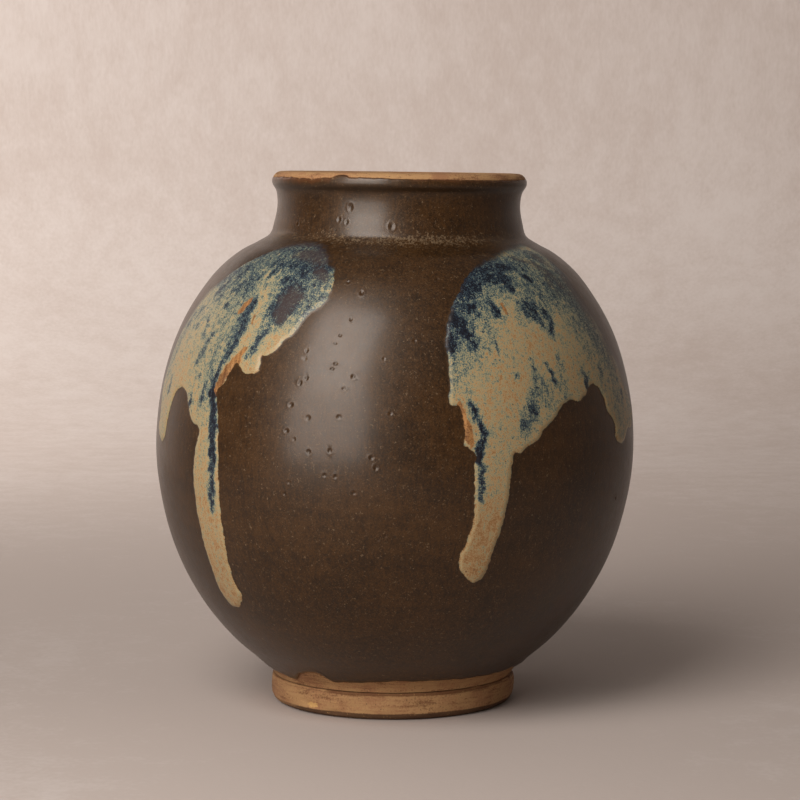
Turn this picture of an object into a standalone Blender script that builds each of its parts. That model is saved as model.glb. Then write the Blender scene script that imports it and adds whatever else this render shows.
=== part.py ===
# Round-shouldered storage jar in stoneware: a turned foot ring, two thrown body sections,
# a neck and a rolled lip, luted together, with a brown glaze inside and out and four
# splashes of a second glaze poured over the shoulder.
#
# The clay sections are bodies of revolution. The whole jar then leans a little, as hand-thrown
# ware does, so every mesh is bent by the same function at the end.
#
# Azimuth 0 faces the front (-Y) and grows towards the right (+X). Heights are above the table.

from math import cos, pi, radians, sin

import bmesh
import bpy
from mathutils import Vector
from mathutils.geometry import interpolate_bezier

MM = 0.001

# Foot ring
FOOT_RADIUS = 67.0 * MM
FOOT_HEIGHT = 15.0 * MM
FOOT_CHAMFER = 4.0 * MM
FOOT_RING_WIDTH = 16.0 * MM
FOOT_WELL_RADIUS = FOOT_RADIUS - FOOT_RING_WIDTH
FOOT_WELL_DEPTH = 9.5 * MM
FOOT_WELL_CHAMFER = 1.5 * MM
FOOT_GROOVE_HEIGHT = 2.4 * MM
FOOT_GROOVE_DEPTH = 1.6 * MM

# Body, from the foot ring up to the root of the neck
HEEL_RADIUS = 66.0 * MM
HEEL_BARE_HEIGHT = 6.0 * MM
HEEL_RISE = 5.5 * MM
BELLY_RADIUS = 131.0 * MM
BELLY_RISE = 129.0 * MM
BELLY_FULLNESS_BELOW = 92.5 * MM
BELLY_FULLNESS_ABOVE = 50.0 * MM
SHOULDER_RISE = 108.0 * MM
SHOULDER_FULLNESS = 33.0 * MM
SHOULDER_SLOPE = radians(20.5)

# Neck and lip
ROOT_RADIUS = 75.0 * MM
ROOT_FILLET = 6.0 * MM
NECK_RADIUS = 66.2 * MM
NECK_RISE = 22.0 * MM
NECK_FLARE_LENGTH = 17.0 * MM
LIP_GROOVE_RISE = 5.0 * MM
LIP_GROOVE_FLARE = 0.7 * MM
LIP_OVERHANG = 3.2 * MM
LIP_BEAD_RISE = 5.3 * MM
LIP_CROWN_RISE = 5.7 * MM
LIP_CROWN_WIDTH = 5.4 * MM
LIP_TOP_WIDTH = 1.5 * MM
LIP_INNER_ROLL = 3.4 * MM

# Walls, glaze coats and the room between touching pieces
WALL_AT_HEEL = 9.0 * MM
WALL_AT_BELLY = 7.0 * MM
WALL_AT_NECK = 6.0 * MM
FLOOR_THICKNESS = 9.0 * MM
FLOOR_FILLET_HEIGHT = 9.0 * MM
FLOOR_FLAT_RADIUS = 46.0 * MM
LUTING_BEVEL = 2.5 * MM
GLAZE_THICKNESS = 0.8 * MM
SPLASH_THICKNESS = 0.8 * MM
SPLASH_EDGE_THICKNESS = 0.35 * MM
SPLASH_EDGE_WIDTH = 1.2 * MM
GAP = 0.3 * MM

# Poured splashes, each from just under the root of the neck to the tip of its longest drip
SPLASH_TOP_DROP = 1.5 * MM
SPLASH_LEFT_LENGTH = 188.0 * MM
SPLASH_RIGHT_LENGTH = 168.0 * MM
SPLASH_BACK_RIGHT_LENGTH = 163.0 * MM
SPLASH_BACK_LEFT_LENGTH = 177.0 * MM

# Lean of the whole jar: how far the rim has moved to the right, and how far it has tipped
RIM_SHIFT = 4.0 * MM
RIM_TIP = radians(0.7)

# Facets
ROUND_STEPS = 44
FINE_STEPS = 96
HEEL_STEPS = 1
LOWER_STEPS = 7
UPPER_STEPS = 7
NECK_STEPS = 3
BEAD_STEPS = 2
CROWN_STEPS = 3
ROLL_STEPS = 2
FLOOR_STEPS = 2
OUTLINE_STEP = 9.0 * MM
WELD_DISTANCE = 0.001 * MM
CUT_DISTANCE = 0.01 * MM

# Outlines of the poured splashes, clockwise from the upper right as seen from outside. A point
# is the azimuth in degrees and the way down in percent of the splash's own length.
SPLASH_LEFT = [
    (-29, 0), (-22.5, 2), (-19.5, 7), (-19, 11.5), (-21, 15.5), (-25, 19), (-29, 24.5),
    (-34, 28.5), (-34.5, 32.5), (-38, 33.5), (-41, 31.5), (-45.5, 37), (-44.5, 48), (-43.5, 60),
    (-44, 78), (-44.8, 90.5), (-44, 96.5), (-47.5, 100), (-51, 99.5), (-53, 93.5), (-53, 73.5),
    (-52.5, 57.5), (-51.5, 49.5), (-56, 44.5), (-60, 39.5), (-63, 39.5), (-66.5, 43), (-70, 54.5),
    (-72.5, 56), (-75.5, 52.5), (-76, 44.5), (-79, 37), (-77, 24), (-71, 13), (-61, 5), (-47, 0),
]
SPLASH_RIGHT = [
    (57, 0.5), (66, 10.5), (69.5, 25), (74.5, 38), (79, 50.5), (79.5, 57.5), (76.5, 58.5),
    (73, 55), (69, 60.5), (65.5, 61.5), (63, 56), (59.5, 49.5), (57, 42.5), (53.5, 41),
    (48.5, 46), (44.5, 45), (39, 50.5), (33.5, 57), (30.5, 60), (27.5, 60.5), (26.5, 72.5),
    (24.5, 87.5), (23, 96.5), (20.2, 100), (16.5, 97.5), (16, 91), (18, 84), (18, 65.5),
    (18.8, 55), (17, 47.5), (14, 45), (12, 43), (12.3, 27.5), (14, 18.5), (19, 10), (27.5, 3.5),
    (43, 0),
]
SPLASH_BACK_RIGHT = [
    (151, 0.5), (162, 6.5), (167, 18), (165, 31.5), (160, 40), (155, 45), (152.5, 53),
    (150, 75.5), (148.5, 95), (145.5, 100), (142.5, 95.5), (142, 74), (142, 54.5), (137, 48.5),
    (131, 49.5), (125, 56), (122, 73), (119, 76.5), (116, 72), (115, 52), (109, 41), (106, 28),
    (109, 14), (118, 5), (133, 0),
]
SPLASH_BACK_LEFT = [
    (238, 0.5), (250, 7), (255, 17.5), (252, 29), (247, 35.5), (245, 47), (244, 62.5),
    (241, 66.5), (238, 61.5), (236, 47), (229, 41), (222, 43.5), (216, 51.5), (214, 75),
    (213, 94.5), (210, 100), (206.5, 95.5), (206, 74), (206, 52.5), (201, 42.5), (195, 35.5),
    (192, 25.5), (195, 13), (204, 4.5), (220, 0),
]

# The finish of each piece: colour, roughness, metallic
FINISHES = {
    "bare_clay": ((0.42, 0.27, 0.15, 1.0), 0.85, 0.0),
    "brown_glaze": ((0.055, 0.035, 0.02, 1.0), 0.32, 0.0),
    "splash_glaze": ((0.45, 0.36, 0.21, 1.0), 0.4, 0.0),
}


def clear_scene():
    """Empty the scene that the script is run in."""
    for old in list(bpy.data.objects):
        bpy.data.objects.remove(old, do_unlink=True)


def material(finish):
    """The material of one finish, made once."""
    made = bpy.data.materials.get(finish)
    if made is None:
        color, roughness, metallic = FINISHES[finish]
        made = bpy.data.materials.new(finish)
        made.use_nodes = True
        shader = made.node_tree.nodes["Principled BSDF"]
        shader.inputs["Base Color"].default_value = color
        shader.inputs["Roughness"].default_value = roughness
        shader.inputs["Metallic"].default_value = metallic
    return made


def curve(start, start_handle, end_handle, end, steps):
    """Points of one cubic curve in the (radius, height) plane, without its first point."""
    knots = [Vector((r, z, 0.0)) for r, z in (start, start_handle, end_handle, end)]
    return [(point.x, point.y) for point in interpolate_bezier(*knots, steps + 1)[1:]]


def spaced(fine, steps):
    """Points of a finely stepped line at even distances along it, without its first point."""
    lengths = [0.0]
    for before, after in zip(fine, fine[1:]):
        lengths.append(lengths[-1] + (Vector(after) - Vector(before)).length)
    wanted = [lengths[-1] * step / steps for step in range(1, steps)]
    picked = [next(i for i, length in enumerate(lengths) if length >= goal) for goal in wanted]
    return [fine[index] for index in picked] + [fine[-1]]


def offset(line, depths):
    """A line moved to its left by a depth at each point, its facets parallel to the old ones."""
    moved = []
    for index, (r, z) in enumerate(line):
        here = Vector((r, z))
        before = Vector(line[max(index - 1, 0)])
        after = Vector(line[min(index + 1, len(line) - 1)])
        incoming = (here - before).normalized() if index > 0 else (after - here).normalized()
        outgoing = (after - here).normalized() if index < len(line) - 1 else incoming
        left_in = Vector((-incoming.y, incoming.x))
        left_out = Vector((-outgoing.y, outgoing.x))
        miter = (left_in + left_out) / (1.0 + left_in.dot(left_out))
        moved.append(tuple(here + miter * depths[index]))
    return moved


def even(depth, line):
    """The same depth at every point of a line."""
    return [depth] * len(line)


def slide_end(line, distance):
    """A line whose last point has moved on along the last facet, or back where negative."""
    last = Vector(line[-1])
    along = (last - Vector(line[-2])).normalized()
    return line[:-1] + [tuple(last + along * distance)]


def slide_start(line, distance):
    """A line whose first point has moved forward along the first facet, or back where negative."""
    return slide_end(line[::-1], -distance)[::-1]


class Profile:
    """The half section of the jar: its outside line, its inside line and where sections meet."""

    def __init__(self):
        belly_height = FOOT_HEIGHT + BELLY_RISE
        root_height = belly_height + SHOULDER_RISE
        neck_height = root_height + NECK_RISE
        groove_height = neck_height + LIP_GROOVE_RISE
        bead_height = groove_height + LIP_BEAD_RISE
        top_height = bead_height + LIP_CROWN_RISE
        groove_radius = NECK_RADIUS + LIP_GROOVE_FLARE
        bead_radius = NECK_RADIUS + LIP_OVERHANG
        slope = (cos(SHOULDER_SLOPE), sin(SHOULDER_SLOPE))
        self.rim_height = top_height
        self.splash_top = root_height - SPLASH_TOP_DROP

        heel = (HEEL_RADIUS, FOOT_HEIGHT)
        belly = (BELLY_RADIUS, belly_height)
        root = (ROOT_RADIUS, root_height)
        waist = (NECK_RADIUS, neck_height)
        groove = (groove_radius, groove_height)
        bead = (bead_radius, bead_height)
        crown = (bead_radius - LIP_CROWN_WIDTH, top_height)

        # The brown glaze starts where the lower wall leaves the bare heel
        wall = [heel] + curve(heel, (HEEL_RADIUS, FOOT_HEIGHT + HEEL_RISE),
                              (BELLY_RADIUS, belly_height - BELLY_FULLNESS_BELOW), belly, FINE_STEPS)
        bare_top = FOOT_HEIGHT + HEEL_BARE_HEIGHT
        bare_to = next(i for i, point in enumerate(wall) if point[1] >= bare_top)
        outside = [heel] + spaced(wall[:bare_to + 1], HEEL_STEPS)
        self.glaze_from = len(outside) - 1
        outside += spaced(wall[bare_to:], LOWER_STEPS)
        self.belly_at = len(outside) - 1
        dome = curve(belly, (BELLY_RADIUS, belly_height + BELLY_FULLNESS_ABOVE),
                     (ROOT_RADIUS + SHOULDER_FULLNESS * slope[0],
                      root_height - SHOULDER_FULLNESS * slope[1]), root, FINE_STEPS)
        outside += spaced([belly] + dome, UPPER_STEPS)
        self.root_at = len(outside) - 1
        outside += curve(root, (ROOT_RADIUS - ROOT_FILLET * slope[0],
                                root_height + ROOT_FILLET * slope[1]),
                         (NECK_RADIUS, neck_height - NECK_FLARE_LENGTH), waist, NECK_STEPS)
        outside.append(groove)
        self.groove_at = len(outside) - 1
        outside += curve(groove, (groove_radius, groove_height + LIP_BEAD_RISE / 3),
                         (bead_radius, bead_height - LIP_BEAD_RISE / 3), bead, BEAD_STEPS)
        outside += curve(bead, (bead_radius, bead_height + LIP_CROWN_RISE / 2),
                         (crown[0] + LIP_CROWN_WIDTH / 2, top_height), crown, CROWN_STEPS)
        self.outside = outside

        # It stops on the crown of the lip, one facet above the widest point of the bead
        self.glaze_to = self.groove_at + BEAD_STEPS + 1

        # The inside line runs from the middle of the floor up to the rolled lip
        skin = GLAZE_THICKNESS + GAP
        depths = []
        for index in range(self.groove_at + 1):
            if index <= self.belly_at:
                share = index / self.belly_at
                wall = WALL_AT_HEEL + (WALL_AT_BELLY - WALL_AT_HEEL) * share
            else:
                share = (index - self.belly_at) / (self.groove_at - self.belly_at)
                wall = WALL_AT_BELLY + (WALL_AT_NECK - WALL_AT_BELLY) * share
            depths.append(skin + wall)
        walls = offset(outside[:self.groove_at + 1], depths)
        floor_height = FOOT_HEIGHT + FLOOR_THICKNESS
        fillet_top = floor_height + FLOOR_FILLET_HEIGHT
        first_wall = next(i for i, point in enumerate(walls) if point[1] > fillet_top)
        floor_edge = (FLOOR_FLAT_RADIUS, floor_height)
        wall_foot = Vector(walls[first_wall])
        wall_turn = wall_foot - Vector(walls[first_wall + 1])
        fillet_handle = wall_foot + wall_turn * (FLOOR_FILLET_HEIGHT / wall_turn.length)
        fillet_handle.y = max(fillet_handle.y, floor_height)
        inside = [(0.0, floor_height), floor_edge]
        inside += curve(floor_edge, (FLOOR_FLAT_RADIUS + FLOOR_FILLET_HEIGHT, floor_height),
                        tuple(fillet_handle), tuple(wall_foot), FLOOR_STEPS)
        shift = len(inside) - 1 - first_wall
        inside += walls[first_wall + 1:]
        self.inside = inside
        self.inside_belly_at = self.belly_at + shift
        self.inside_root_at = self.root_at + shift
        self.inside_groove_at = self.groove_at + shift

    def clay_face(self, first, last):
        """The clay under the brown glaze, between two points of the outside line."""
        whole = offset(self.outside, even(GLAZE_THICKNESS + GAP, self.outside))
        return whole[first:last + 1]

    def lip_inside(self):
        """The inner face of the lip, from the crown down to the neck."""
        crown = self.outside[-1]
        foot = self.inside[self.inside_groove_at]
        edge = (crown[0] - LIP_TOP_WIDTH, crown[1])
        turn = (foot[0], crown[1] - LIP_INNER_ROLL)
        roll = curve(edge, ((edge[0] + turn[0]) / 2, edge[1]),
                     (turn[0], (edge[1] + turn[1]) / 2), turn, ROLL_STEPS)
        return [edge] + roll + [foot]


def lathe(name, outline, finish, closed=True):
    """Spin an outline of (radius, height) points about the jar's axis into one solid."""
    mesh = bmesh.new()
    corners = [mesh.verts.new((0.0, -r, z)) for r, z in outline]
    edges = [mesh.edges.new(pair) for pair in zip(corners, corners[1:])]
    if closed:
        edges.append(mesh.edges.new((corners[-1], corners[0])))
    bmesh.ops.spin(mesh, geom=corners + edges, cent=(0, 0, 0), axis=(0, 0, 1), dvec=(0, 0, 0),
                   angle=2 * pi, steps=ROUND_STEPS, use_merge=True, use_duplicate=False)
    bmesh.ops.remove_doubles(mesh, verts=mesh.verts[:], dist=WELD_DISTANCE)
    return finish_piece(name, mesh, finish)


def finish_piece(name, mesh, finish):
    """Turn a bmesh into a named object that leans with the jar."""
    for vert in mesh.verts:
        vert.co = lean(vert.co)
    bmesh.ops.recalc_face_normals(mesh, faces=mesh.faces[:])
    if mesh.calc_volume(signed=True) < 0:
        bmesh.ops.reverse_faces(mesh, faces=mesh.faces[:])
    data = bpy.data.meshes.new(name)
    mesh.to_mesh(data)
    mesh.free()
    piece = bpy.data.objects.new(name, data)
    bpy.context.scene.collection.objects.link(piece)
    data.materials.append(material(finish))
    data.shade_smooth()
    data.set_sharp_from_angle(angle=radians(40))
    return piece


def lean(point):
    """Bend a point of the upright jar: flat on the table at the foot, shifted and tipped above."""
    share = point.z / profile.rim_height
    tip = RIM_TIP * share
    shift = RIM_SHIFT * (0.2 * share + 0.8 * share * share)
    return Vector((point.x * cos(tip) + shift, point.y, point.z - point.x * sin(tip)))


def build_foot_ring():
    """The turned foot: a flat resting ring, chamfered, with a groove under the body."""
    seat = FOOT_HEIGHT - GAP
    groove = seat - FOOT_GROOVE_HEIGHT
    outline = [
        (FOOT_WELL_RADIUS + FOOT_WELL_CHAMFER, 0.0),
        (FOOT_RADIUS - FOOT_CHAMFER, 0.0),
        (FOOT_RADIUS - FOOT_CHAMFER * 0.3, FOOT_CHAMFER * 0.4),
        (FOOT_RADIUS, FOOT_CHAMFER),
        (FOOT_RADIUS, groove - FOOT_GROOVE_DEPTH * 0.5),
        (FOOT_RADIUS - FOOT_GROOVE_DEPTH, groove),
        (FOOT_RADIUS - FOOT_GROOVE_DEPTH, seat),
        (FOOT_WELL_RADIUS, seat),
        (FOOT_WELL_RADIUS, FOOT_WELL_CHAMFER),
    ]
    return lathe("foot_ring", outline, "bare_clay")


def build_lower_body():
    """The bowl-shaped lower section: a floor that drops into the foot ring, and the wall."""
    glaze_from = profile.glaze_from
    boss_radius = FOOT_WELL_RADIUS - GAP
    bare = profile.outside[:glaze_from + 1]
    bare = slide_end(bare, -GAP)
    covered = profile.clay_face(glaze_from, profile.belly_at)
    outer = bare + slide_start(slide_end(covered, -GAP / 2), -GAP)
    inner = profile.inside[:profile.inside_belly_at + 1]
    inner = slide_end(inner, LUTING_BEVEL - GAP / 2)
    outline = [(0.0, FOOT_WELL_DEPTH), (boss_radius, FOOT_WELL_DEPTH), (boss_radius, FOOT_HEIGHT)]
    outline += outer + inner[::-1]
    return lathe("lower_body", outline, "bare_clay", closed=False)


def build_upper_body():
    """The domed upper section, bevelled to sit on the lower one and to carry the neck."""
    outer = profile.clay_face(profile.belly_at, profile.root_at)
    outer = slide_start(slide_end(outer, -GAP / 2), GAP / 2)
    inner = profile.inside[profile.inside_belly_at:profile.inside_root_at + 1]
    inner = slide_start(slide_end(inner, -GAP / 2), LUTING_BEVEL + GAP / 2)
    return lathe("upper_body", outer + inner[::-1], "bare_clay")


def build_neck():
    """The short waisted neck."""
    outer = profile.clay_face(profile.root_at, profile.groove_at)
    outer = slide_start(slide_end(outer, -GAP / 2), GAP / 2)
    inner = profile.inside[profile.inside_root_at:profile.inside_groove_at + 1]
    inner = slide_start(slide_end(inner, -GAP / 2), GAP / 2)
    return lathe("neck", outer + inner[::-1], "bare_clay")


def build_lip():
    """The rolled lip, glazed up to the crown and bare on top."""
    covered = slide_end(profile.clay_face(profile.groove_at, profile.glaze_to), GAP)
    bare = slide_start(profile.outside[profile.glaze_to:], GAP)
    inner = slide_end(profile.lip_inside(), -GAP / 2)
    return lathe("lip", slide_start(covered, GAP / 2) + bare + inner, "bare_clay")


def build_outer_glaze():
    """The brown glaze over the outside, from above the heel to the crown of the lip."""
    whole = profile.outside
    covered = slice(profile.glaze_from, profile.glaze_to + 1)
    under = offset(whole, even(GLAZE_THICKNESS, whole))
    return lathe("outer_glaze", whole[covered] + under[covered][::-1], "brown_glaze")


def build_inner_glaze():
    """The brown glaze inside, a thin cup from the floor up to the neck."""
    line = profile.inside
    outer = offset(line, even(GAP, line))
    inner = offset(line, even(GAP + GLAZE_THICKNESS, line))
    outer[0] = (0.0, outer[0][1])
    inner[0] = (0.0, inner[0][1])
    return lathe("inner_glaze", outer + inner[::-1], "brown_glaze", closed=False)


def wall_point(azimuth, height, lift):
    """A point on the faceted outside of the jar, lifted off it by a distance."""
    line = profile.outside
    lifted = offset(line, even(-lift, line))
    index = next(i for i in range(1, len(line)) if line[i][1] >= height or i == len(line) - 1)
    low, high = line[index - 1][1], line[index][1]
    share = (height - low) / (high - low)
    r = lifted[index - 1][0] * (1 - share) + lifted[index][0] * share
    z = lifted[index - 1][1] * (1 - share) + lifted[index][1] * share
    facet = 2 * pi / ROUND_STEPS
    from_middle = azimuth - (int(azimuth // facet) + 0.5) * facet
    r *= cos(facet / 2) / cos(from_middle)
    return Vector((r * sin(azimuth), -r * cos(azimuth), z))


def flowing(outline, length):
    """The outline laid flat, with one point of a smooth curve added to each of its long sides."""
    knots = []
    for azimuth, percent in outline:
        height = profile.splash_top - length * percent / 100
        knots.append(Vector((radians(azimuth) * BELLY_RADIUS, 0.0, height)))
    flowed = []
    for index, knot in enumerate(knots):
        before, after = knots[index - 1], knots[(index + 1) % len(knots)]
        beyond = knots[(index + 2) % len(knots)]
        flowed.append(knot)
        if (after - knot).length > OUTLINE_STEP:
            flowed.append((knot + after) * 0.5625 - (before + beyond) * 0.0625)
    return flowed


def build_splash(name, outline, length):
    """A poured splash with its drips: an outline wrapped on the glaze, thinner at its edge.

    The outline is one face in a flat plane whose x is the way round the belly and whose z is
    the height. It is inset for the rounded edge, cut along the jar's facets, thickened, and
    then every point is carried onto the wall.
    """
    sheet = bmesh.new()
    face = sheet.faces.new([sheet.verts.new(point) for point in flowing(outline, length)])
    edge_ring = bmesh.ops.inset_region(sheet, faces=[face], thickness=SPLASH_EDGE_WIDTH,
                                       use_even_offset=True)["faces"]
    middle = [one for one in sheet.faces if one not in edge_ring]
    for vert in {vert for one in middle for vert in one.verts}:
        vert.co.y = 1.0

    facet = 2 * pi / ROUND_STEPS * BELLY_RADIUS
    xs = [vert.co.x for vert in sheet.verts]
    zs = [vert.co.z for vert in sheet.verts]
    for step in range(int(min(xs) // facet), int(max(xs) // facet) + 1):
        cut(sheet, (step * facet, 0.0, 0.0), (1, 0, 0))
    for r, z in profile.outside:
        if min(zs) < z < max(zs):
            cut(sheet, (0.0, 0.0, z), (0, 0, 1))

    top = bmesh.ops.extrude_face_region(sheet, geom=sheet.faces[:])["geom"]
    raised = {item for item in top if isinstance(item, bmesh.types.BMVert)}
    thin = SPLASH_EDGE_THICKNESS
    for vert in sheet.verts:
        lift = GAP
        if vert in raised:
            lift += thin + (SPLASH_THICKNESS - thin) * vert.co.y
        vert.co = wall_point(vert.co.x / BELLY_RADIUS, vert.co.z, lift)
    return finish_piece(name, sheet, "splash_glaze")


def cut(sheet, point, normal):
    """Split the faces of a flat sheet along one plane."""
    geometry = sheet.verts[:] + sheet.edges[:] + sheet.faces[:]
    bmesh.ops.bisect_plane(sheet, geom=geometry, dist=CUT_DISTANCE, plane_co=point, plane_no=normal)


def stand_at_origin(pieces):
    """Move the meshes so that the middle of the jar's bounding box stands over the origin."""
    points = [vert.co for piece in pieces for vert in piece.data.vertices]
    middle_x = (min(p.x for p in points) + max(p.x for p in points)) / 2
    middle_y = (min(p.y for p in points) + max(p.y for p in points)) / 2
    base = min(p.z for p in points)
    for piece in pieces:
        for vert in piece.data.vertices:
            vert.co -= Vector((middle_x, middle_y, base))
        piece.data.update()


def main():
    clear_scene()
    pieces = [
        build_foot_ring(),
        build_lower_body(),
        build_upper_body(),
        build_neck(),
        build_lip(),
        build_outer_glaze(),
        build_inner_glaze(),
        build_splash("splash_left", SPLASH_LEFT, SPLASH_LEFT_LENGTH),
        build_splash("splash_right", SPLASH_RIGHT, SPLASH_RIGHT_LENGTH),
        build_splash("splash_back_right", SPLASH_BACK_RIGHT, SPLASH_BACK_RIGHT_LENGTH),
        build_splash("splash_back_left", SPLASH_BACK_LEFT, SPLASH_BACK_LEFT_LENGTH),
    ]
    stand_at_origin(pieces)


profile = Profile()
main()
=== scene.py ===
from math import pi, radians, tau

import bmesh
import bpy
import numpy
from bpy.props import FloatProperty, FloatVectorProperty, IntProperty, PointerProperty
from bpy.types import Operator, Panel, PropertyGroup
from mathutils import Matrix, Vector, noise
from mathutils.geometry import interpolate_bezier


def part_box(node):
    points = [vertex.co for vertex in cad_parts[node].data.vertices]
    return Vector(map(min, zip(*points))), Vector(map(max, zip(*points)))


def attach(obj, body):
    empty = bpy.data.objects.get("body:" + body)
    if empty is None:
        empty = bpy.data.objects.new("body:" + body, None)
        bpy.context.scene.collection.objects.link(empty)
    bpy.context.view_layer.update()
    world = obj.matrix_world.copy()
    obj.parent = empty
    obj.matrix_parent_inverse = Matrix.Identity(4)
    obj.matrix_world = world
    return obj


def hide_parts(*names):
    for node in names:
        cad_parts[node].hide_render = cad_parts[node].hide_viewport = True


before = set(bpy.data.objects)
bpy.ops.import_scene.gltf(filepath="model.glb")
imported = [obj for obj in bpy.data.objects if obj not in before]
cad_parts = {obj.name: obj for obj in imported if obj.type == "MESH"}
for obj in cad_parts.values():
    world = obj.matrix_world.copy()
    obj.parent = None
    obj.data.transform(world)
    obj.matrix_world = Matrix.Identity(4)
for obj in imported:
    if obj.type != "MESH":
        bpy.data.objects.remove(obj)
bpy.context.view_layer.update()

bl_info = {
    "name": "Poured glaze jar",
    "version": (1, 0, 0),
    "blender": (4, 5, 0),
    "location": "View3D > Sidebar > Jar",
    "description": "A round-shouldered stoneware jar with a brown glaze and poured splashes",
    "category": "Add Mesh",
}

# Lengths in this file are in millimetres and become metres as a mesh is put in its place. Azimuth
# 0 faces the front (-Y) and grows towards the right (+X). Heights are above the table.
MM = 0.001
foot_low, foot_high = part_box("foot_ring")

# Where the upright jar's axis stands, and how its rim is moved over and tipped to the right
FOOT_MIDDLE = (foot_low.x + foot_high.x) / 2 / MM - 0.02
RIM_HEIGHT = 290.0
RIM_SHIFT = 4.0
RIM_TIP = radians(0.7)

# Heights of the clay: the base drops into the foot ring, the body stands on it at the heel, and
# the two sections of the body meet at the belly
BASE_HEIGHT = 9.5
HEEL_HEIGHT = 15.0
CLAY_FLOOR = 23.9
BELLY_HEIGHT = 144.0
LIP_START = 279.2

# How tall the groove on the foot ring is and how far in it reaches, how round the ring's corners
# are, and how far apart the points of its section
GROOVE_HEIGHT = 1.7
GROOVE_REACH = 1.3
FOOT_CORNER = 0.8
FOOT_SPACING = 0.8

# Heights on the brown glaze: its lower and upper edge before they are made ragged, the shoulder,
# the root of the neck with its dust and painted sheen, where the band under the lip starts, and the dark
# pooled glaze with painted shade in that band
GLAZE_LOW = 21.0
GLAZE_TOP = 286.9
SHOULDER_HEIGHT = 232.0
ROOT_HEIGHT = 254.5
BAND_HEIGHT = 274.0
SHADE_POOL_HEIGHT = 281.2

# Facets round a piece, the distance under which two of its points are one, and how far the clay
# is behind the face of the inner glaze
FACETS = 240
FINE_FACETS = 360
MERGE_DISTANCE = 0.0005
CLAY_BEHIND = 1.15

# How strong and how rough the clear skin of a fired glaze is, how much the face under it reflects,
# and the tint that the iron gives to that
SKIN = 0.28
SKIN_ROUGHNESS = 0.21
GLAZE_SPECULAR = 0.34
IRON_TINT = (1.0, 0.84, 0.70)

# The colour of a pinhole in the brown glaze and of a dark speck in the bare clay
PITCH = (0.008, 0.005, 0.003)
CINDER = (0.03, 0.017, 0.010)

# A coat is shaped on a wall that is rolled out round an upright drum, and then laid on the jar
DRUM_RADIUS = 131.0

# The net of a splash: how far it reaches past the outline, how high it goes, the size of its cells
# at the front and the back, how much of it stays outside the outline, and how deep its back lies
NET_MARGIN = 5.0
NET_TOP = 258.0
FRONT_CELL = 0.9
BACK_CELL = 1.15
NET_TRIM = 2.6
SPLASH_SINK = 0.45

# The seed of the noise that swirls the colours of the splashes
SWIRL_SEED = 11

# The floor is an open round bowl about the jar. The dark of its paper, where it is mottled and
# where shade is painted on it, is a share of each colour.
BOWL_RADIUS = 2000.0
BOWL_HEIGHT = 1100.0
BOWL_BEND = 700.0
PAPER_DARK = (0.85, 0.81, 0.785)

# The lamps: width and height in metres, place and target
LAMPS = {
    "key": (0.66, 0.92, (-0.49, -0.82, 1.00), (0, 0, 0.38)),
    "low": (0.88, 0.56, (-0.670, -1.115, 0.365), (0, 0, 0.128)),
    "backdrop": (1.5, 0.6, (-0.95, 0.95, 1.25), (-0.90, 2.0, 0.5)),
}
LAMP_COLOUR = (1.0, 0.965, 0.935)
ROOM_COLOUR = (1.0, 0.95, 0.91, 1.0)
SENSOR_WIDTH = 36.0

# The outside of the wall from the heel to the crown of the lip, as (radius, height)
WALL_KNOTS = [
    (66.0, 15.0), (66.5, 16.0), (74.8, 24.0), (88.5, 36.0), (102.2, 52.0), (116.5, 76.0),
    (126.7, 106.0), (131.1, 140.0), (128.2, 172.0), (120.3, 200.0), (108.7, 222.0),
    (96.1, 238.0), (84.85, 247.0), (75.5, 252.0), (69.7, 256.0), (67.85, 262.0), (66.2, 273.0),
    (67.0, 279.0), (69.4, 284.0), (68.7, 287.4), (66.6, 289.4), (64.0, 290.0), (62.5, 290.0),
]

# The inside of the inner glaze, from the edge of the floor up to the lip
INSIDE_KNOTS = [
    (45.4, 25.1), (63.3, 31.3), (80.0, 42.4), (93.2, 57.1), (103.4, 72.2), (111.5, 89.2),
    (117.3, 107.2), (120.6, 125.8), (121.8, 144.0), (120.8, 161.4), (117.8, 178.2),
    (112.6, 195.2), (105.6, 210.5), (96.4, 224.4), (84.6, 236.5), (69.9, 244.7), (63.0, 249.0),
    (58.4, 259.1), (57.3, 274.3), (58.2, 280.0),
]

# Where the brown glaze stops above the heel, as (azimuth in degrees, height)
FOOT_GLAZE_EDGE = [
    (-85, 21), (-71, 18.5), (-61, 19), (-57, 18), (-54, 17), (-49, 18), (-45.5, 20.5),
    (-42, 23), (-37, 25), (-34, 25.5), (-31, 25), (-29, 23.5), (-28, 21.5), (-26.5, 19.8),
    (-24, 20), (-20, 20.5), (-11.5, 21), (-4, 22), (2, 22.5), (11, 22), (20, 22), (30, 21.5),
    (50, 21.5), (60, 22.5), (80, 21), (110, 22.5), (135, 20), (150, 18.5), (158, 22),
    (180, 23), (205, 21), (230, 22.5), (255, 20),
]

# Where it stops on the crown of the lip, with a small run over the top on the left of the front
LIP_GLAZE_EDGE = [
    (-78, 286.5), (-64, 287), (-56, 287), (-48, 286.5), (-42, 286.2), (-38, 286.5), (-35, 287),
    (-31, 287.3), (-28.6, 288.6), (-24.2, 288.7), (-22.6, 287.4), (-17, 287.4), (-9, 287.3),
    (-5, 287), (1, 286.8), (20, 286.6), (60, 286.4), (90, 286.8), (130, 287.2), (170, 286.4),
    (210, 287.3), (250, 286.6),
]

# Chips in the foot: azimuth, height, half width, half height, depth, how fresh
FOOT_CHIPS = [
    (-40.5, 5.6, 5.6, 1.5, 0.8, 0.9), (-45, 7.2, 2.5, 0.8, 0.4, 0.0), (-27, 3.2, 5.0, 1.2, 0.5, 0.0),
    (62, 2.0, 6.0, 1.4, 0.6, 0.0), (118, 4.0, 5.0, 1.6, 0.6, 0.8), (205, 2.5, 7.0, 1.6, 0.7, 0.0),
    (-110, 3.0, 4.0, 1.4, 0.5, 0.0),
]

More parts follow.
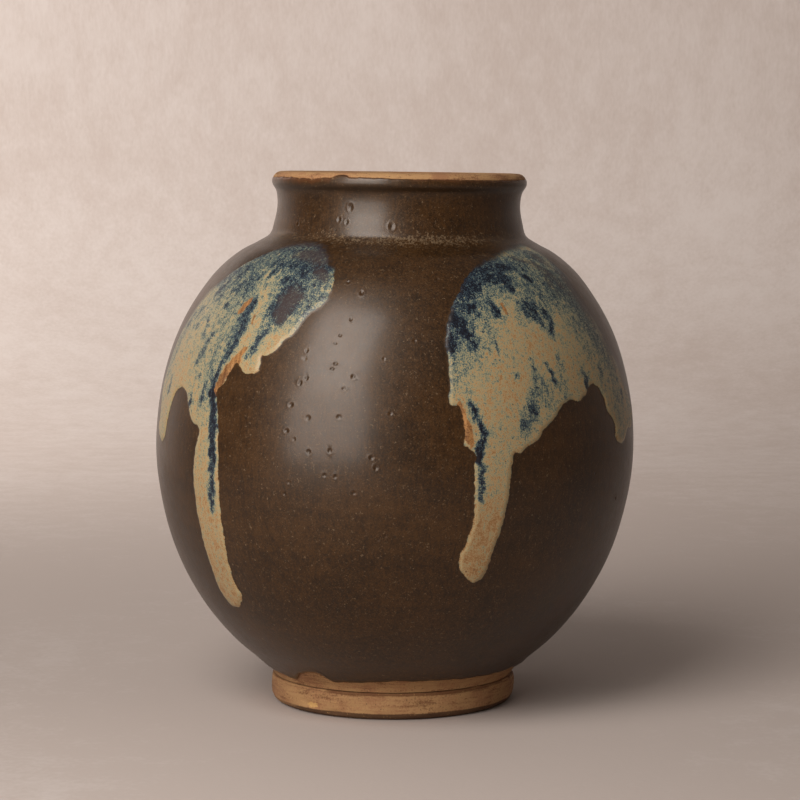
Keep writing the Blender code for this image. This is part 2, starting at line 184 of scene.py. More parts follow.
# How open the groove above the foot is, round the jar
GROOVE_DEPTH = [
    (-75, 0.05), (-45, 0.05), (-33, 0.6), (-20, 1.0), (30, 1.0), (48, 0.8), (60, 0.35), (75, 0.2),
    (100, 0.9), (150, 1.0), (175, 0.3), (200, 0.9), (240, 1.0), (265, 0.5),
]

# How stained the side of the foot is, and how burnt its lower edge
FOOT_STAIN = [
    (-80, 0.22), (-50, 0.20), (-20, 0.08), (10, 0.08), (30, 0.16), (55, 0.22), (80, 0.3),
    (140, 0.3), (180, 0.15), (230, 0.3),
]
FOOT_BURN = [
    (-85, 0.45), (-60, 0.5), (-48, 0.75), (-20, 0.95), (20, 1.0), (60, 1.0), (90, 0.9),
    (150, 0.6), (180, 0.8), (240, 0.6),
]

# How dusty the root of the neck is, and how much painted sheen it has, round the jar
ROOT_DUST_AND_SHEEN = [
    (-90, 0.4), (-64, 0.8), (-50, 0.5), (-25, 0.7), (-10, 0.9), (5, 1.0), (20, 0.95), (40, 0.6),
    (70, 0.3), (120, 0.5), (180, 0.7), (230, 0.4),
]

# Pinholes and small craters in the brown glaze: azimuth, height, radius, depth
PITS = [
    (-22.5, 271.5, 1.8, 0.46), (-27.8, 265, 1.4, 0.36), (-23.8, 263.8, 1.25, 0.34), (-3, 262, 1.8, 0.38),
    (-51.8, 262, 1.1, 0.4), (-10, 229, 1.3, 0.5), (-14.5, 234, 1.0, 0.35), (-14, 208, 1.1, 0.4),
    (-15, 204, 1.0, 0.35), (-11.8, 216, 1.1, 0.35), (-2.8, 197, 0.9, 0.35), (-22, 200, 1.1, 0.4),
    (-22, 196, 0.9, 0.35), (-14.3, 194, 1.3, 0.5), (-15, 191.5, 1.2, 0.5), (-9.8, 188, 1.3, 0.5),
    (-11.8, 182, 1.1, 0.4), (-21.0, 186.5, 1.2, 0.5), (-22.5, 184, 1.3, 0.55), (-24.2, 173, 1.4, 0.5),
    (-19.8, 167, 1.6, 0.45), (-12.5, 168, 1.4, 0.5), (-24.8, 160, 1.3, 0.45), (-22.8, 156, 1.0, 0.35),
    (-19.2, 150, 1.3, 0.45), (-14.3, 151, 1.3, 0.5), (-5, 148, 1.3, 0.45), (-4, 143, 1.4, 0.5),
    (-15.4, 138.5, 1.1, 0.45), (-13, 138, 1.1, 0.45), (-23.8, 134, 1.1, 0.4), (-25, 128, 1.1, 0.4),
    (-8.8, 130, 1.2, 0.4), (-1, 170, 1.1, 0.4), (4.5, 206, 1.0, 0.35), (-3.5, 106, 1.2, 0.4),
    (-1.8, 108, 1.2, 0.45), (10.2, 136, 1.0, 0.35), (12, 236, 1.2, 0.45), (47, 262, 1.1, 0.4),
    (66, 118, 1.2, 0.45), (96, 190, 1.4, 0.5), (101, 181, 1.2, 0.45), (88, 96, 1.3, 0.5),
    (176, 205, 1.3, 0.5), (182, 172, 1.5, 0.55), (171, 150, 1.2, 0.45), (179, 262, 1.6, 0.5),
    (188, 120, 1.2, 0.45), (174, 190, 1.1, 0.4), (183, 196, 1.0, 0.35), (268, 214, 1.3, 0.5),
    (262, 160, 1.4, 0.5), (272, 132, 1.2, 0.45), (265, 92, 1.3, 0.5), (120, 96, 1.3, 0.5),
    (228, 92, 1.2, 0.45),
]

# How far the lip's glaze burnt to rust under its edge, round the jar
LIP_RUST = [
    (-80, 0.5), (-62, 1.0), (-44, 1.0), (-32, 0.8), (-22, 0.25), (0, 0.12), (40, 0.3), (90, 0.5),
    (130, 0.9), (170, 0.4), (220, 0.7), (250, 0.4),
]

# The inner roll of the lip, from its crown down, as (radius, height)
LIP_ROLL = [(62.5, 290.0), (60.8, 289.4), (59.4, 288.0), (58.5, 286.2), (58.2, 283.4), (58.2, 280.3)]

# The poured splashes. An outline is clockwise from the upper right as seen from outside, as
# (azimuth, height). A tone is how blue the glaze is round a place, from 0 for bare ochre through
# buff, cream, sage and teal to 1 for blue-black: azimuth, height, reach across, reach along, tone.
# A mark is half its width, its tone and the points that it runs through. Haze is where an edge
# melts into the brown: azimuth, height, reach across, reach along.
SPLASHES = {
    "splash_left": {
        "outline": [
            (-46.5, 253), (-38.2, 254), (-28.8, 252), (-22.5, 246), (-19.5, 237), (-19, 228),
            (-20.8, 222), (-24.2, 217), (-26, 210), (-28.8, 204), (-31.5, 198), (-34, 196),
            (-34.2, 189), (-38, 187), (-40, 190), (-41.2, 192), (-43.2, 186), (-44.2, 182),
            (-46.2, 177), (-45, 168), (-43.8, 150), (-43.5, 137), (-43.8, 122), (-44, 103),
            (-44.8, 84), (-44.8, 76), (-44, 70), (-45.8, 65), (-47.8, 62), (-51.2, 63),
            (-52.8, 68), (-53, 75), (-52.8, 92), (-53, 112), (-52.8, 134), (-52.2, 144),
            (-51.2, 158), (-54, 160), (-56.8, 168), (-58.2, 173), (-60, 176), (-62.8, 176),
            (-66, 170), (-68.2, 157), (-69.8, 148), (-71.2, 146), (-74, 148), (-76, 152),
            (-75.5, 159), (-79, 180), (-77, 205), (-71, 226), (-61, 241),
        ],
        "tones": [
            (-58, 247, 12, 5, 0.76), (-42, 250, 14, 4, 0.80), (-28, 248, 8, 4, 0.80),
            (-64, 236, 7, 7, 0.70), (-56, 239, 7, 5, 0.66), (-49, 241, 6, 5, 0.60),
            (-43, 243, 5, 4, 0.72), (-36, 242, 5, 5, 0.76), (-29, 241, 6, 6, 0.86),
            (-24, 238, 4, 7, 0.80), (-36, 235, 4, 5, 0.60), (-29, 235, 4, 3, 0.66),
            (-20.5, 229, 2.5, 8, 0.56), (-31, 227, 5, 7, 0.90), (-32, 220, 6, 6, 0.90),
            (-37.5, 228, 2.0, 8, 0.56), (-34, 211, 4, 3, 0.56), (-24.5, 222, 3, 6, 0.66),
            (-28, 213, 4, 3, 0.46), (-41, 232, 2.6, 6, 0.40), (-39.5, 219, 2.6, 9, 0.28),
            (-36.4, 203, 2, 6, 0.50), (-31.5, 203, 3, 4, 0.24), (-36, 192, 5, 4, 0.18),
            (-44, 215, 3, 9, 0.72), (-45.5, 204, 3, 7, 0.62), (-46.5, 232, 3, 7, 0.62),
            (-50, 231, 4, 6, 0.74), (-55, 231, 4, 5, 0.60), (-49.6, 220, 3, 7, 0.56),
            (-53, 214, 4, 7, 0.46), (-57, 221, 4, 6, 0.46), (-61, 226, 4, 7, 0.52),
            (-60, 210, 5, 8, 0.36), (-66, 215, 4, 8, 0.44), (-66, 198, 5, 8, 0.32),
            (-72, 208, 4, 10, 0.50), (-74, 190, 4, 12, 0.48), (-68, 184, 5, 8, 0.24),
            (-72, 168, 5, 12, 0.30), (-50, 200, 3.4, 8, 0.48), (-49.4, 184, 3.6, 10, 0.50),
            (-50, 168, 3, 8, 0.42), (-55, 198, 3, 8, 0.44), (-56, 184, 4, 8, 0.34),
            (-62, 183, 4, 6, 0.22), (-60, 196, 3, 6, 0.34),
            (-50, 145, 6, 16, 0.24), (-48, 108, 8, 20, 0.17), (-48, 75, 8, 12, 0.14),
        ],
        "marks": [
            (1.7, 0.95, [(-35, 234)]), (1.9, 1.0, [(-30, 236), (-29.4, 237)]), (1.4, 0.9, [(-35, 242)]),
            (1.3, 0.85, [(-43, 243), (-44, 241)]), (1.6, 1.0, [(-23, 240), (-22.5, 238)]),
            (1.5, 0.95, [(-25.5, 241), (-26, 239)]), (1.2, 0.9, [(-21, 226)]),
            (1.2, 0.85, [(-24, 221)]), (1.0, 0.9, [(-33.5, 224)]), (1.0, 0.95, [(-29, 218)]),
            (1.2, 0.95, [(-31, 214)]), (1.1, 0.9, [(-27, 229)]), (1.0, 0.9, [(-32, 243)]),
            (1.5, 0.9, [(-53, 221), (-53.6, 219)]), (1.1, 0.85, [(-64, 208)]),
            (1.0, 0.95, [(-56, 173), (-56, 168)]), (0.8, 0.9, [(-54, 184)]),
            (1.4, 0.9, [(-42.4, 235), (-40.5, 239), (-39.6, 242)]),
            (1.2, 0.98, [(-42.3, 224), (-42, 219)]), (2.2, 0.82, [(-42.8, 218), (-42.6, 212), (-43, 206)]),
            (1.3, 0.80, [(-43, 210), (-43.8, 202), (-44.8, 195)]),
            (1.0, 0.86, [(-44.5, 198), (-46, 192), (-47, 186)]),
            (1.7, 0.98, [(-46.8, 188), (-48, 182), (-47.8, 176), (-47, 170)]),
            (2.4, 0.98, [(-47.4, 178), (-46.4, 168), (-45.8, 158), (-45.4, 146)]),
            (1.9, 0.95, [(-45.6, 152), (-45.4, 140), (-45.8, 130), (-46.6, 116)]),
            (1.1, 0.84, [(-34.6, 209), (-36, 205), (-37.2, 200), (-38.2, 195)]),
            (1.3, 0.85, [(-51.6, 231), (-53.5, 226)]), (1.1, 0.85, [(-54.6, 239), (-57, 234)]),
            (1.1, 0.85, [(-60.6, 231), (-63, 225)]), (0.9, 0.8, [(-66, 218), (-67, 213)]),
            (0.8, 0.8, [(-59.5, 214), (-57.5, 203)]), (1.5, 0.75, [(-54.6, 198), (-57, 188)]),
            (1.4, 0.72, [(-53.4, 206), (-56, 197)]), (1.0, 0.7, [(-70, 215), (-71.5, 206)]),
            (1.2, 0.78, [(-48.6, 233), (-50.4, 228)]), (1.0, 0.74, [(-58, 228), (-60, 222)]),
            (1.1, 0.74, [(-51, 178), (-51.4, 170)]), (0.8, 0.8, [(-69.6, 180), (-70, 172)]),
        ],
        "slate": [
            (7.5, [(-31, 228), (-30, 221)]), (5.0, [(-32, 222), (-31, 214)]),
            (6.0, [(-38, 247), (-31, 247), (-25, 243)]), (3.0, [(-55, 249), (-43, 252), (-30, 251)]),
            (4.0, [(-26, 240), (-22, 235)]), (3.0, [(-64, 238), (-70, 226), (-76, 206)]),
            (2.5, [(-77, 200), (-78, 180)]),
        ],
        "rust": [
            (2.9, [(-39.6, 199), (-42.0, 193), (-44.0, 187), (-45.6, 182), (-46.2, 176)]),
            (1.7, [(-44.4, 224), (-45.6, 220), (-46.6, 216)]), (1.0, [(-40.4, 217), (-39.5, 211)]),
        ],
        "beads": [(-48, 67, 6, 0.5), (-72.5, 150, 4, 0.3), (-36.5, 190, 4, 0.25)],
        "haze": [(-70, 236, 16, 12), (-77, 214, 9, 16), (-79, 190, 7, 14), (-22, 245, 6, 7)],
    },
    "splash_right": {
        "outline": [
            (66, 251), (52.5, 252), (45.2, 251), (34.8, 247), (27.5, 244), (22, 238),
            (18.8, 232), (16, 225), (13.8, 218), (12.5, 210), (12.2, 204), (12.5, 195),
            (12.5, 182), (12.2, 178), (13, 174), (14.5, 174), (15.2, 168), (15.8, 162),
            (15.8, 154), (16.8, 152), (18, 150), (18, 144), (18, 136), (18.2, 128), (18, 111),
            (17, 104), (16, 98), (15.8, 92), (16.5, 88), (18.5, 84), (20.2, 82), (22, 84),
            (23, 88), (24, 99), (25.5, 112), (26.5, 128), (27.2, 145), (27.8, 149), (29.8, 149),
            (31, 152), (33.5, 154), (36.2, 161), (39.2, 165), (42.5, 172), (44.8, 174),
            (48.2, 173), (51, 176), (53.8, 181), (56.8, 179), (58.5, 174), (59.8, 166),
            (63.2, 159), (63.2, 152), (65.5, 148), (69, 148), (72.2, 154), (76.8, 154),
            (80.5, 160), (78, 172), (74.5, 186), (71, 197), (68, 216), (67, 232), (68, 243),
        ],
        "tones": [
            (14.5, 214, 4, 8, 0.75), (17, 222, 4, 7, 0.74), (21, 230, 5, 6, 0.84), (26, 237, 6, 5, 0.84),
            (32, 241, 6, 4, 0.84), (38, 242, 5, 4, 0.78), (13.5, 203, 3, 6, 0.70), (18, 209, 3, 5, 0.72),
            (44, 243, 5, 4, 0.70), (51, 248, 6, 3, 0.62), (57, 246, 5, 4, 0.72), (34, 234, 4, 5, 0.78),
            (22, 219, 4, 5, 0.56), (24, 226, 4, 4, 0.62), (28, 229, 4, 4, 0.52), (34, 227, 5, 3, 0.46),
            (41, 231, 5, 4, 0.60), (47, 237, 5, 4, 0.56), (53, 239, 5, 5, 0.64), (28, 219, 4, 5, 0.42),
            (31, 222, 3, 4, 0.30), (35, 217, 3, 5, 0.42), (38.6, 221, 4, 5, 0.68), (43, 213, 3, 7, 0.58),
            (46, 225, 4, 6, 0.50), (50, 228, 5, 7, 0.62), (56, 232, 5, 8, 0.74), (53, 216, 5, 8, 0.48),
            (60, 222, 6, 12, 0.70), (66, 232, 6, 12, 0.74), (19, 203, 4, 4, 0.66), (23, 208, 4, 6, 0.46),
            (16, 195, 5, 5, 0.46), (13, 188, 3, 8, 0.46), (20, 194, 5, 6, 0.36), (15, 180, 4, 5, 0.34),
            (25, 196, 6, 7, 0.28), (31, 203, 6, 7, 0.24), (37, 203, 6, 7, 0.22), (28, 182, 7, 8, 0.20),
            (40, 196, 6, 8, 0.22), (47, 205, 5, 8, 0.28), (47, 190, 5, 9, 0.24), (22, 182, 5, 8, 0.24),
            (35.4, 183, 3, 6, 0.56), (33, 173, 3, 6, 0.62), (30.8, 165, 2.5, 5, 0.62),
            (38, 176, 3, 6, 0.44),
            (43.6, 184, 3, 9, 0.44), (52, 188, 5, 7, 0.32), (56, 202, 4, 9, 0.44), (62, 205, 5, 10, 0.62),
            (60, 186, 5, 9, 0.36), (66, 190, 5, 10, 0.54), (24, 160, 4, 8, 0.26), (21, 137, 6, 14, 0.22),
            (20, 106, 7, 14, 0.10), (20, 88, 6, 6, 0.12), (67, 168, 5, 9, 0.44), (76, 166, 5, 10, 0.40),
        ],
        "marks": [
            (1.2, 0.95, [(34, 242), (34.6, 240)]), (1.6, 1.0, [(36.6, 243), (38, 240.6)]),
            (2.4, 1.0, [(28, 237), (30.6, 235)]), (1.7, 1.0, [(42, 237), (44, 234)]),
            (1.1, 0.95, [(44, 241), (45, 239)]), (1.2, 0.8, [(45, 233), (45.6, 231)]),
            (0.9, 0.85, [(61, 239), (62, 236)]), (1.0, 0.85, [(75, 233), (76, 230)]),
            (1.9, 1.0, [(19.4, 223), (20.6, 220)]), (1.0, 0.85, [(34.5, 222)]),
            (2.8, 1.0, [(14.6, 219), (16.4, 213), (18, 208)]), (1.7, 0.98, [(13.4, 208), (13.6, 200)]),
            (1.4, 0.85, [(19, 205), (19.4, 202)]), (1.9, 0.95, [(21.6, 229), (24, 233)]),
            (2.1, 1.0, [(33, 239), (34, 235), (34.8, 230)]), (1.0, 0.95, [(27, 239), (31, 241)]),
            (1.5, 0.98, [(26.2, 224), (27, 221), (27.4, 217)]), (1.5, 0.92, [(37.6, 224), (38.6, 221)]),
            (1.2, 0.94, [(40.4, 223), (40, 219), (39.2, 216)]), (1.1, 0.9, [(36.6, 220), (37.6, 217)]),
            (1.4, 0.95, [(42.8, 220.5), (44, 215)]), (1.0, 0.86, [(44, 217), (43.8, 212), (43.2, 207)]),
            (0.9, 0.8, [(41, 217), (40.4, 212)]), (0.9, 0.78, [(45, 229), (45, 224)]),
            (0.8, 0.72, [(43, 197), (43.5, 191)]), (1.0, 0.9, [(39.4, 192.5), (40, 187), (40.6, 183)]),
            (0.8, 0.75, [(51, 190), (50.6, 185)]), (1.3, 0.9, [(52, 185.5), (52, 179.5)]),
            (0.8, 0.8, [(59, 190), (59.6, 183)]), (1.0, 0.9, [(70.6, 177), (70, 171)]),
            (1.4, 0.9, [(33, 173), (33.4, 168)]), (1.0, 0.9, [(30.6, 166), (30.8, 162)]),
            (1.0, 1.0, [(16.6, 175.5), (18.6, 170), (19.8, 162)]),
            (1.4, 0.98, [(19.6, 165), (20.2, 158), (19.6, 151)]),
            (2.0, 0.98, [(19, 154), (19.2, 146)]), (1.5, 0.92, [(19.2, 149), (19.6, 138), (19.9, 126)]),
            (0.7, 0.75, [(25, 206), (25.4, 200)]), (0.7, 0.7, [(34.6, 196), (34.8, 190)]),
            (0.8, 0.75, [(55, 214), (55.6, 208)]), (0.7, 0.7, [(29, 192), (29.2, 186)]),
        ],
        "slate": [
            (4.0, [(29, 247), (36, 249), (44, 251), (54, 251)]), (3.0, [(57, 248), (60, 240)]),
            (2.5, [(44, 246), (50, 243), (56, 236), (59, 226)]),
            (6.0, [(63, 236), (64, 224), (65, 210)]), (3.5, [(66, 208), (68, 196), (70, 186)]),
            (2.0, [(52, 238), (53, 228)]), (2.5, [(72, 186), (75, 172)]),
        ],
        "rust": [
            (2.6, [(14.7, 176), (15.4, 168), (16.4, 160), (16.9, 153)]),
            (1.2, [(29.2, 224), (30.5, 219)]),
        ],
        "beads": [(20, 88, 6, 0.5), (66, 152, 4, 0.3)],
        "haze": [
            (66, 246, 18, 10), (69, 226, 15, 16), (72, 204, 13, 14), (76, 186, 9, 12), (26, 245, 10, 6),
        ],
    },
    "splash_back_right": {
        "outline": [
            (133, 252), (151, 251), (162, 241), (167, 222), (165, 200), (161, 187), (158, 181),
            (155, 177), (153.5, 170), (152.5, 160), (151, 140), (150, 118), (149, 100),
            (147.6, 92), (145.5, 88), (143, 91), (142, 100), (142, 130), (142.4, 152),
            (142, 162), (140, 168), (137, 172), (134, 173), (131, 170), (128, 165),
            (125.4, 158), (123.6, 145), (122, 132), (120.6, 127), (119, 126), (117, 129),
            (116, 136), (115.6, 152), (115, 166), (112, 177), (109, 185), (106.5, 205),
            (109, 228), (118, 243),
        ],
        "tones": [
            (135, 250, 16, 4, 0.70), (155, 243, 8, 6, 0.80), (163, 226, 5, 10, 0.86),
            (164, 206, 4, 10, 0.76), (118, 240, 8, 6, 0.66), (110, 222, 5, 12, 0.66),
            (146, 236, 7, 8, 0.56), (128, 236, 8, 7, 0.50), (154, 222, 6, 8, 0.60),
            (144, 218, 6, 8, 0.36), (133, 220, 6, 8, 0.34), (120, 216, 6, 9, 0.42),
            (156, 200, 5, 8, 0.46), (146, 198, 6, 9, 0.24), (134, 200, 7, 9, 0.22),
            (122, 198, 6, 9, 0.26), (112, 200, 4, 10, 0.46), (150, 182, 6, 7, 0.34),
            (140, 182, 5, 6, 0.48), (128, 178, 5, 7, 0.30), (116, 180, 5, 8, 0.32),
            (146, 150, 6, 16, 0.26), (146, 112, 7, 16, 0.14), (119, 146, 6, 14, 0.24),
        ],
        "marks": [
            (2.4, 1.0, [(158, 232), (159.6, 225)]), (1.8, 1.0, [(152, 240), (154, 236)]),
            (2.4, 0.98, [(164, 218), (163.4, 208), (162.6, 200)]), (1.5, 0.95, [(140, 238), (141, 232)]),
            (1.2, 0.9, [(131, 241), (132, 238)]), (1.9, 0.98, [(124, 227), (124.6, 219)]),
            (1.1, 0.85, [(117, 215), (116, 208)]), (1.4, 0.9, [(147.4, 215), (146.6, 205)]),
            (1.8, 0.98, [(144, 164), (143.6, 144), (144, 126)]), (1.0, 0.75, [(130, 197), (130, 188)]),
            (0.9, 0.8, [(120, 181), (119, 172)]), (1.2, 0.85, [(154, 197), (153, 189)]),
            (0.8, 0.75, [(136, 207), (136.4, 199)]), (0.8, 0.72, [(112, 196), (111.6, 190)]),
            (1.2, 0.9, [(135, 229), (136, 224)]), (1.0, 0.85, [(150, 229), (149.4, 224)]),
        ],
        "slate": [
            (4.0, [(158, 240), (164, 226)]), (4.0, [(122, 247), (140, 250), (152, 247)]),
            (4.0, [(110, 228), (108, 206)]),
        ],
        "rust": [
            (1.9, [(152.6, 178), (151.4, 170), (150.4, 160)]), (1.0, [(138, 212), (138, 206)]),
        ],
        "beads": [(145.5, 94, 6, 0.5), (119, 131, 4.5, 0.35)],
        "haze": [(108, 232, 14, 14), (107, 208, 8, 14), (160, 244, 8, 6)],
    },
    "splash_back_left": {
        "outline": [
            (220, 252), (238, 251), (250, 240), (255, 220), (252.4, 202), (249, 193),
            (247, 187), (245.6, 178), (245, 165), (244.4, 146), (243, 136), (241, 133),
            (239, 135), (238, 143), (237.4, 156), (236, 168), (233, 175), (229, 179),
            (225, 178), (221.6, 173), (218, 166), (216, 157), (215, 140), (214, 118),
            (213.4, 96), (212.6, 82), (211.6, 76), (210, 74), (208, 76), (206.6, 84),
            (206, 100), (206, 130), (206.4, 152), (205, 164), (202.6, 174), (199, 182),
            (195, 189), (192, 207), (195, 229), (204, 244),
        ],
        "tones": [
            (222, 250, 16, 4, 0.70), (244, 242, 7, 6, 0.74), (251, 226, 5, 10, 0.70),
            (250, 208, 4, 9, 0.60), (204, 240, 7, 6, 0.82), (196, 224, 4, 10, 0.88),
            (195, 206, 4, 8, 0.80), (236, 236, 7, 7, 0.48), (222, 236, 7, 7, 0.56),
            (210, 230, 6, 7, 0.60), (202, 212, 4, 9, 0.50), (240, 218, 7, 9, 0.36),
            (226, 216, 7, 9, 0.28), (213, 214, 6, 9, 0.34), (244, 198, 5, 9, 0.32),
            (232, 196, 7, 9, 0.22), (218, 196, 7, 9, 0.22), (205, 194, 5, 8, 0.34),
            (226, 184, 5, 5, 0.46), (241, 168, 5, 12, 0.28), (211, 164, 6, 9, 0.28),
            (210, 130, 7, 18, 0.20), (210, 90, 7, 14, 0.13),
        ],
        "marks": [
            (2.2, 0.98, [(198, 228), (196.6, 220), (196, 212)]), (1.8, 0.98, [(204, 238), (206, 234)]),
            (1.8, 0.95, [(236, 241), (237, 237)]), (1.4, 0.9, [(226, 239), (226, 232)]),
            (2.0, 0.98, [(246, 233), (248, 226)]), (1.4, 0.9, [(214, 236), (213, 229)]),
            (1.6, 0.9, [(250, 213), (249, 205)]), (1.0, 0.8, [(218, 217), (218, 210)]),
            (1.8, 0.98, [(208.4, 160), (208, 138), (208.6, 116)]), (1.2, 0.85, [(230, 207), (230, 198)]),
            (0.9, 0.75, [(203, 200), (203, 194)]), (0.9, 0.8, [(240, 191), (240, 182)]),
            (1.2, 0.78, [(222, 191), (222, 184)]), (1.1, 0.85, [(240, 226), (241, 220)]),
        ],
        "slate": [
            (4.0, [(246, 240), (252, 226)]), (4.0, [(206, 246), (220, 250), (236, 248)]),
            (3.0, [(253, 222), (253, 206)]),
        ],
        "rust": [
            (1.9, [(217.4, 168), (216, 158), (215.2, 148)]), (1.0, [(233, 214), (233, 208)]),
        ],
        "beads": [(210, 80, 6, 0.5), (241, 138, 4.5, 0.35)],
        "haze": [(253, 236, 14, 14), (254, 210, 8, 14), (198, 240, 8, 8)],
    },
}

# The splash glaze from bare ochre to blue-black: where each colour sits between 0 and 1
TONE_STOPS = (("ochre", 0.0), ("buff", 0.14), ("cream", 0.28), ("sage", 0.43), ("teal", 0.58),
              ("blue", 0.74), ("navy", 0.88), ("black", 1.0))


def shade(red, green, blue):
    """A colour as the eye reads it, 0 to 255, turned into the linear values that shaders use."""
    return tuple((value / 255) ** 2.2 for value in (red, green, blue))


def length_setting(name, description, default):
    """A length in millimetres that a user can change."""
    return FloatProperty(name=name, description=description, default=default, min=0.0)


def colour_setting(name, description, default):
    """A colour that a user can change."""
    return FloatVectorProperty(name=name, description=description, default=default, size=3,
                               subtype="COLOR", min=0.0, max=1.0)


def power_setting(name, description, default):
    """The power of a lamp, which a user can change."""
    return FloatProperty(name=name, description=description, default=default, min=0.0, unit="POWER")


class JarSizes(PropertyGroup):
    """The sizes of the jar, in millimetres"""

    foot_radius: length_setting("Foot radius", "Outside radius of the foot ring", 67.0)
    foot_height: length_setting("Foot height", "Height of the foot ring", 14.7)
    well_radius: length_setting("Well radius", "Radius of the hollow under the base", 51.0)
    glaze_thickness: length_setting("Glaze thickness", "Thickness of the brown glaze", 0.8)
    splash_thickness: length_setting("Splash thickness", "How far a splash stands up", 0.55)
    unevenness: length_setting("Unevenness", "How far the thrown wall wanders from round", 0.25)
    columns: IntProperty(name="Columns", description="Facets round the wall", default=400, min=48)


class JarColours(PropertyGroup):
    """The colours of the clay and the glazes"""

    clay: colour_setting("Clay", "The bare buff clay", shade(150, 115, 78))
    clay_pink: colour_setting("Flashed clay", "Bare clay that the kiln turned pink", shade(134, 95, 66))
    clay_stain: colour_setting("Stain", "Brown stains on the bare clay", shade(85, 52, 30))
    clay_burnt: colour_setting("Burnt clay", "The dark lower edge of the foot", shade(66, 45, 31))
    chip: colour_setting("Chip", "Fresh clay where the foot is chipped", shade(176, 137, 86))
    brown: colour_setting("Brown glaze", "The dark iron glaze", shade(59, 39, 18))
    brown_dark: colour_setting("Dark glaze", "The darkest part of the iron glaze", shade(33, 22, 11))
    brown_fleck: colour_setting("Fleck", "Light flecks in the iron glaze", shade(115, 97, 75))
    ochre: colour_setting("Ochre", "The splash where it is thin", shade(129, 95, 61))
    buff: colour_setting("Buff", "The warm body of the splash", shade(147, 115, 80))
    cream: colour_setting("Cream", "The palest body of the splash", shade(149, 132, 97))
    sage: colour_setting("Sage", "Grey-green flecks of the splash", shade(120, 121, 99))
    teal: colour_setting("Teal", "Grey-blue of the splash", shade(78, 90, 85))
    blue: colour_setting("Blue", "Dark blue of the splash", shade(43, 58, 68))
    navy: colour_setting("Navy", "Blue-black of the splash", shade(25, 34, 48))
    black: colour_setting("Black", "The darkest pools of the splash", shade(16, 19, 27))
    slate: colour_setting("Slate", "Purple-grey where iron bleeds in", shade(58, 48, 46))
    rust: colour_setting("Rust", "Orange where the splash ran off", shade(153, 108, 64))


class JarStage(PropertyGroup):
    """The floor, the lamps and the camera"""

    floor: colour_setting("Floor", "Colour of the floor and backdrop", shade(188, 178, 172))
    key_power: power_setting("Key light", "Power of the soft light", 16.9)
    low_power: power_setting("Low light", "Power of the panel that stands below it", 8.8)
    backdrop_power: power_setting("Backdrop light", "Power of the light on the backdrop", 29.0)
    fill_strength: FloatProperty(name="Fill", description="Strength of the light all round",
                                 default=0.15, min=0.0)
    lens: FloatProperty(name="Lens", description="Focal length", default=116.3, min=1.0,
                        unit="CAMERA")
    camera_distance: length_setting("Camera distance", "From the jar's axis", 1415.9)
    camera_height: length_setting("Camera height", "Above the table", 296.3)
    camera_side: FloatProperty(name="Camera side", description="To the right, in millimetres",
                               default=2.92)
    camera_tilt: FloatProperty(name="Camera tilt", description="How far it looks down",
                               default=radians(5.30), unit="ROTATION")


def smooth_line(knots, steps):
    """A smooth curve through knots in a plane, with the same number of steps between any two."""
    points = [Vector((a, b, 0.0)) for a, b in knots]
    spans = [(after - before).length for before, after in zip(points, points[1:])]
    slopes = [(after - before) / span for before, after, span in zip(points, points[1:], spans)]
    tangents = [slopes[0]]
    for near, far, before, after in zip(spans, spans[1:], slopes, slopes[1:]):
        tangents.append((before * far + after * near) / (near + far))
    tangents.append(slopes[-1])
    line = [tuple(knots[0])]
    for index, span in enumerate(spans):
        start, end = points[index], points[index + 1]
        handle = start + tangents[index] * span / 3
        other = end - tangents[index + 1] * span / 3
        line += [(p.x, p.y) for p in interpolate_bezier(start, handle, other, end, steps + 1)[1:]]
    return line


def closed_line(knots, steps):
    """A smooth closed curve through knots."""
    wrapped = [knots[-2], knots[-1]] + list(knots) + [knots[0], knots[1]]
    return smooth_line(wrapped, steps)[2 * steps:-3 * steps]


def rounded(corners, radius, steps=3):
    """A line with each of its corners but the first and last cut round."""
    line = [corners[0]]
    for before, here, after in zip(corners, corners[1:], corners[2:]):
        middle = Vector(here)
        back, on = Vector(before) - middle, Vector(after) - middle
        start = middle + back * min(radius / back.length, 0.45)
        end = middle + on * min(radius / on.length, 0.45)
        for step in range(steps + 1):
            share = step / steps
            line.append(tuple(start * (1 - share) ** 2 + middle * 2 * share * (1 - share)
                              + end * share ** 2))
    return line + [corners[-1]]


def ease(low, high, value):
    """From 0 at low to 1 at high, with soft ends."""
    share = numpy.clip((value - low) / (high - low), 0.0, 1.0)
    return share * share * (3 - 2 * share)


def around(table, azimuth):
    """A value given at some azimuths in degrees, read at others in radians."""
    angles, values = zip(*table)
    return numpy.interp(numpy.degrees(azimuth), angles, values, period=360)


def turn_past(azimuth, where):
    """How far azimuths are past one in degrees, the shorter way round, in radians."""
    return ((numpy.degrees(azimuth) - where + 180) % 360 - 180) * radians(1)


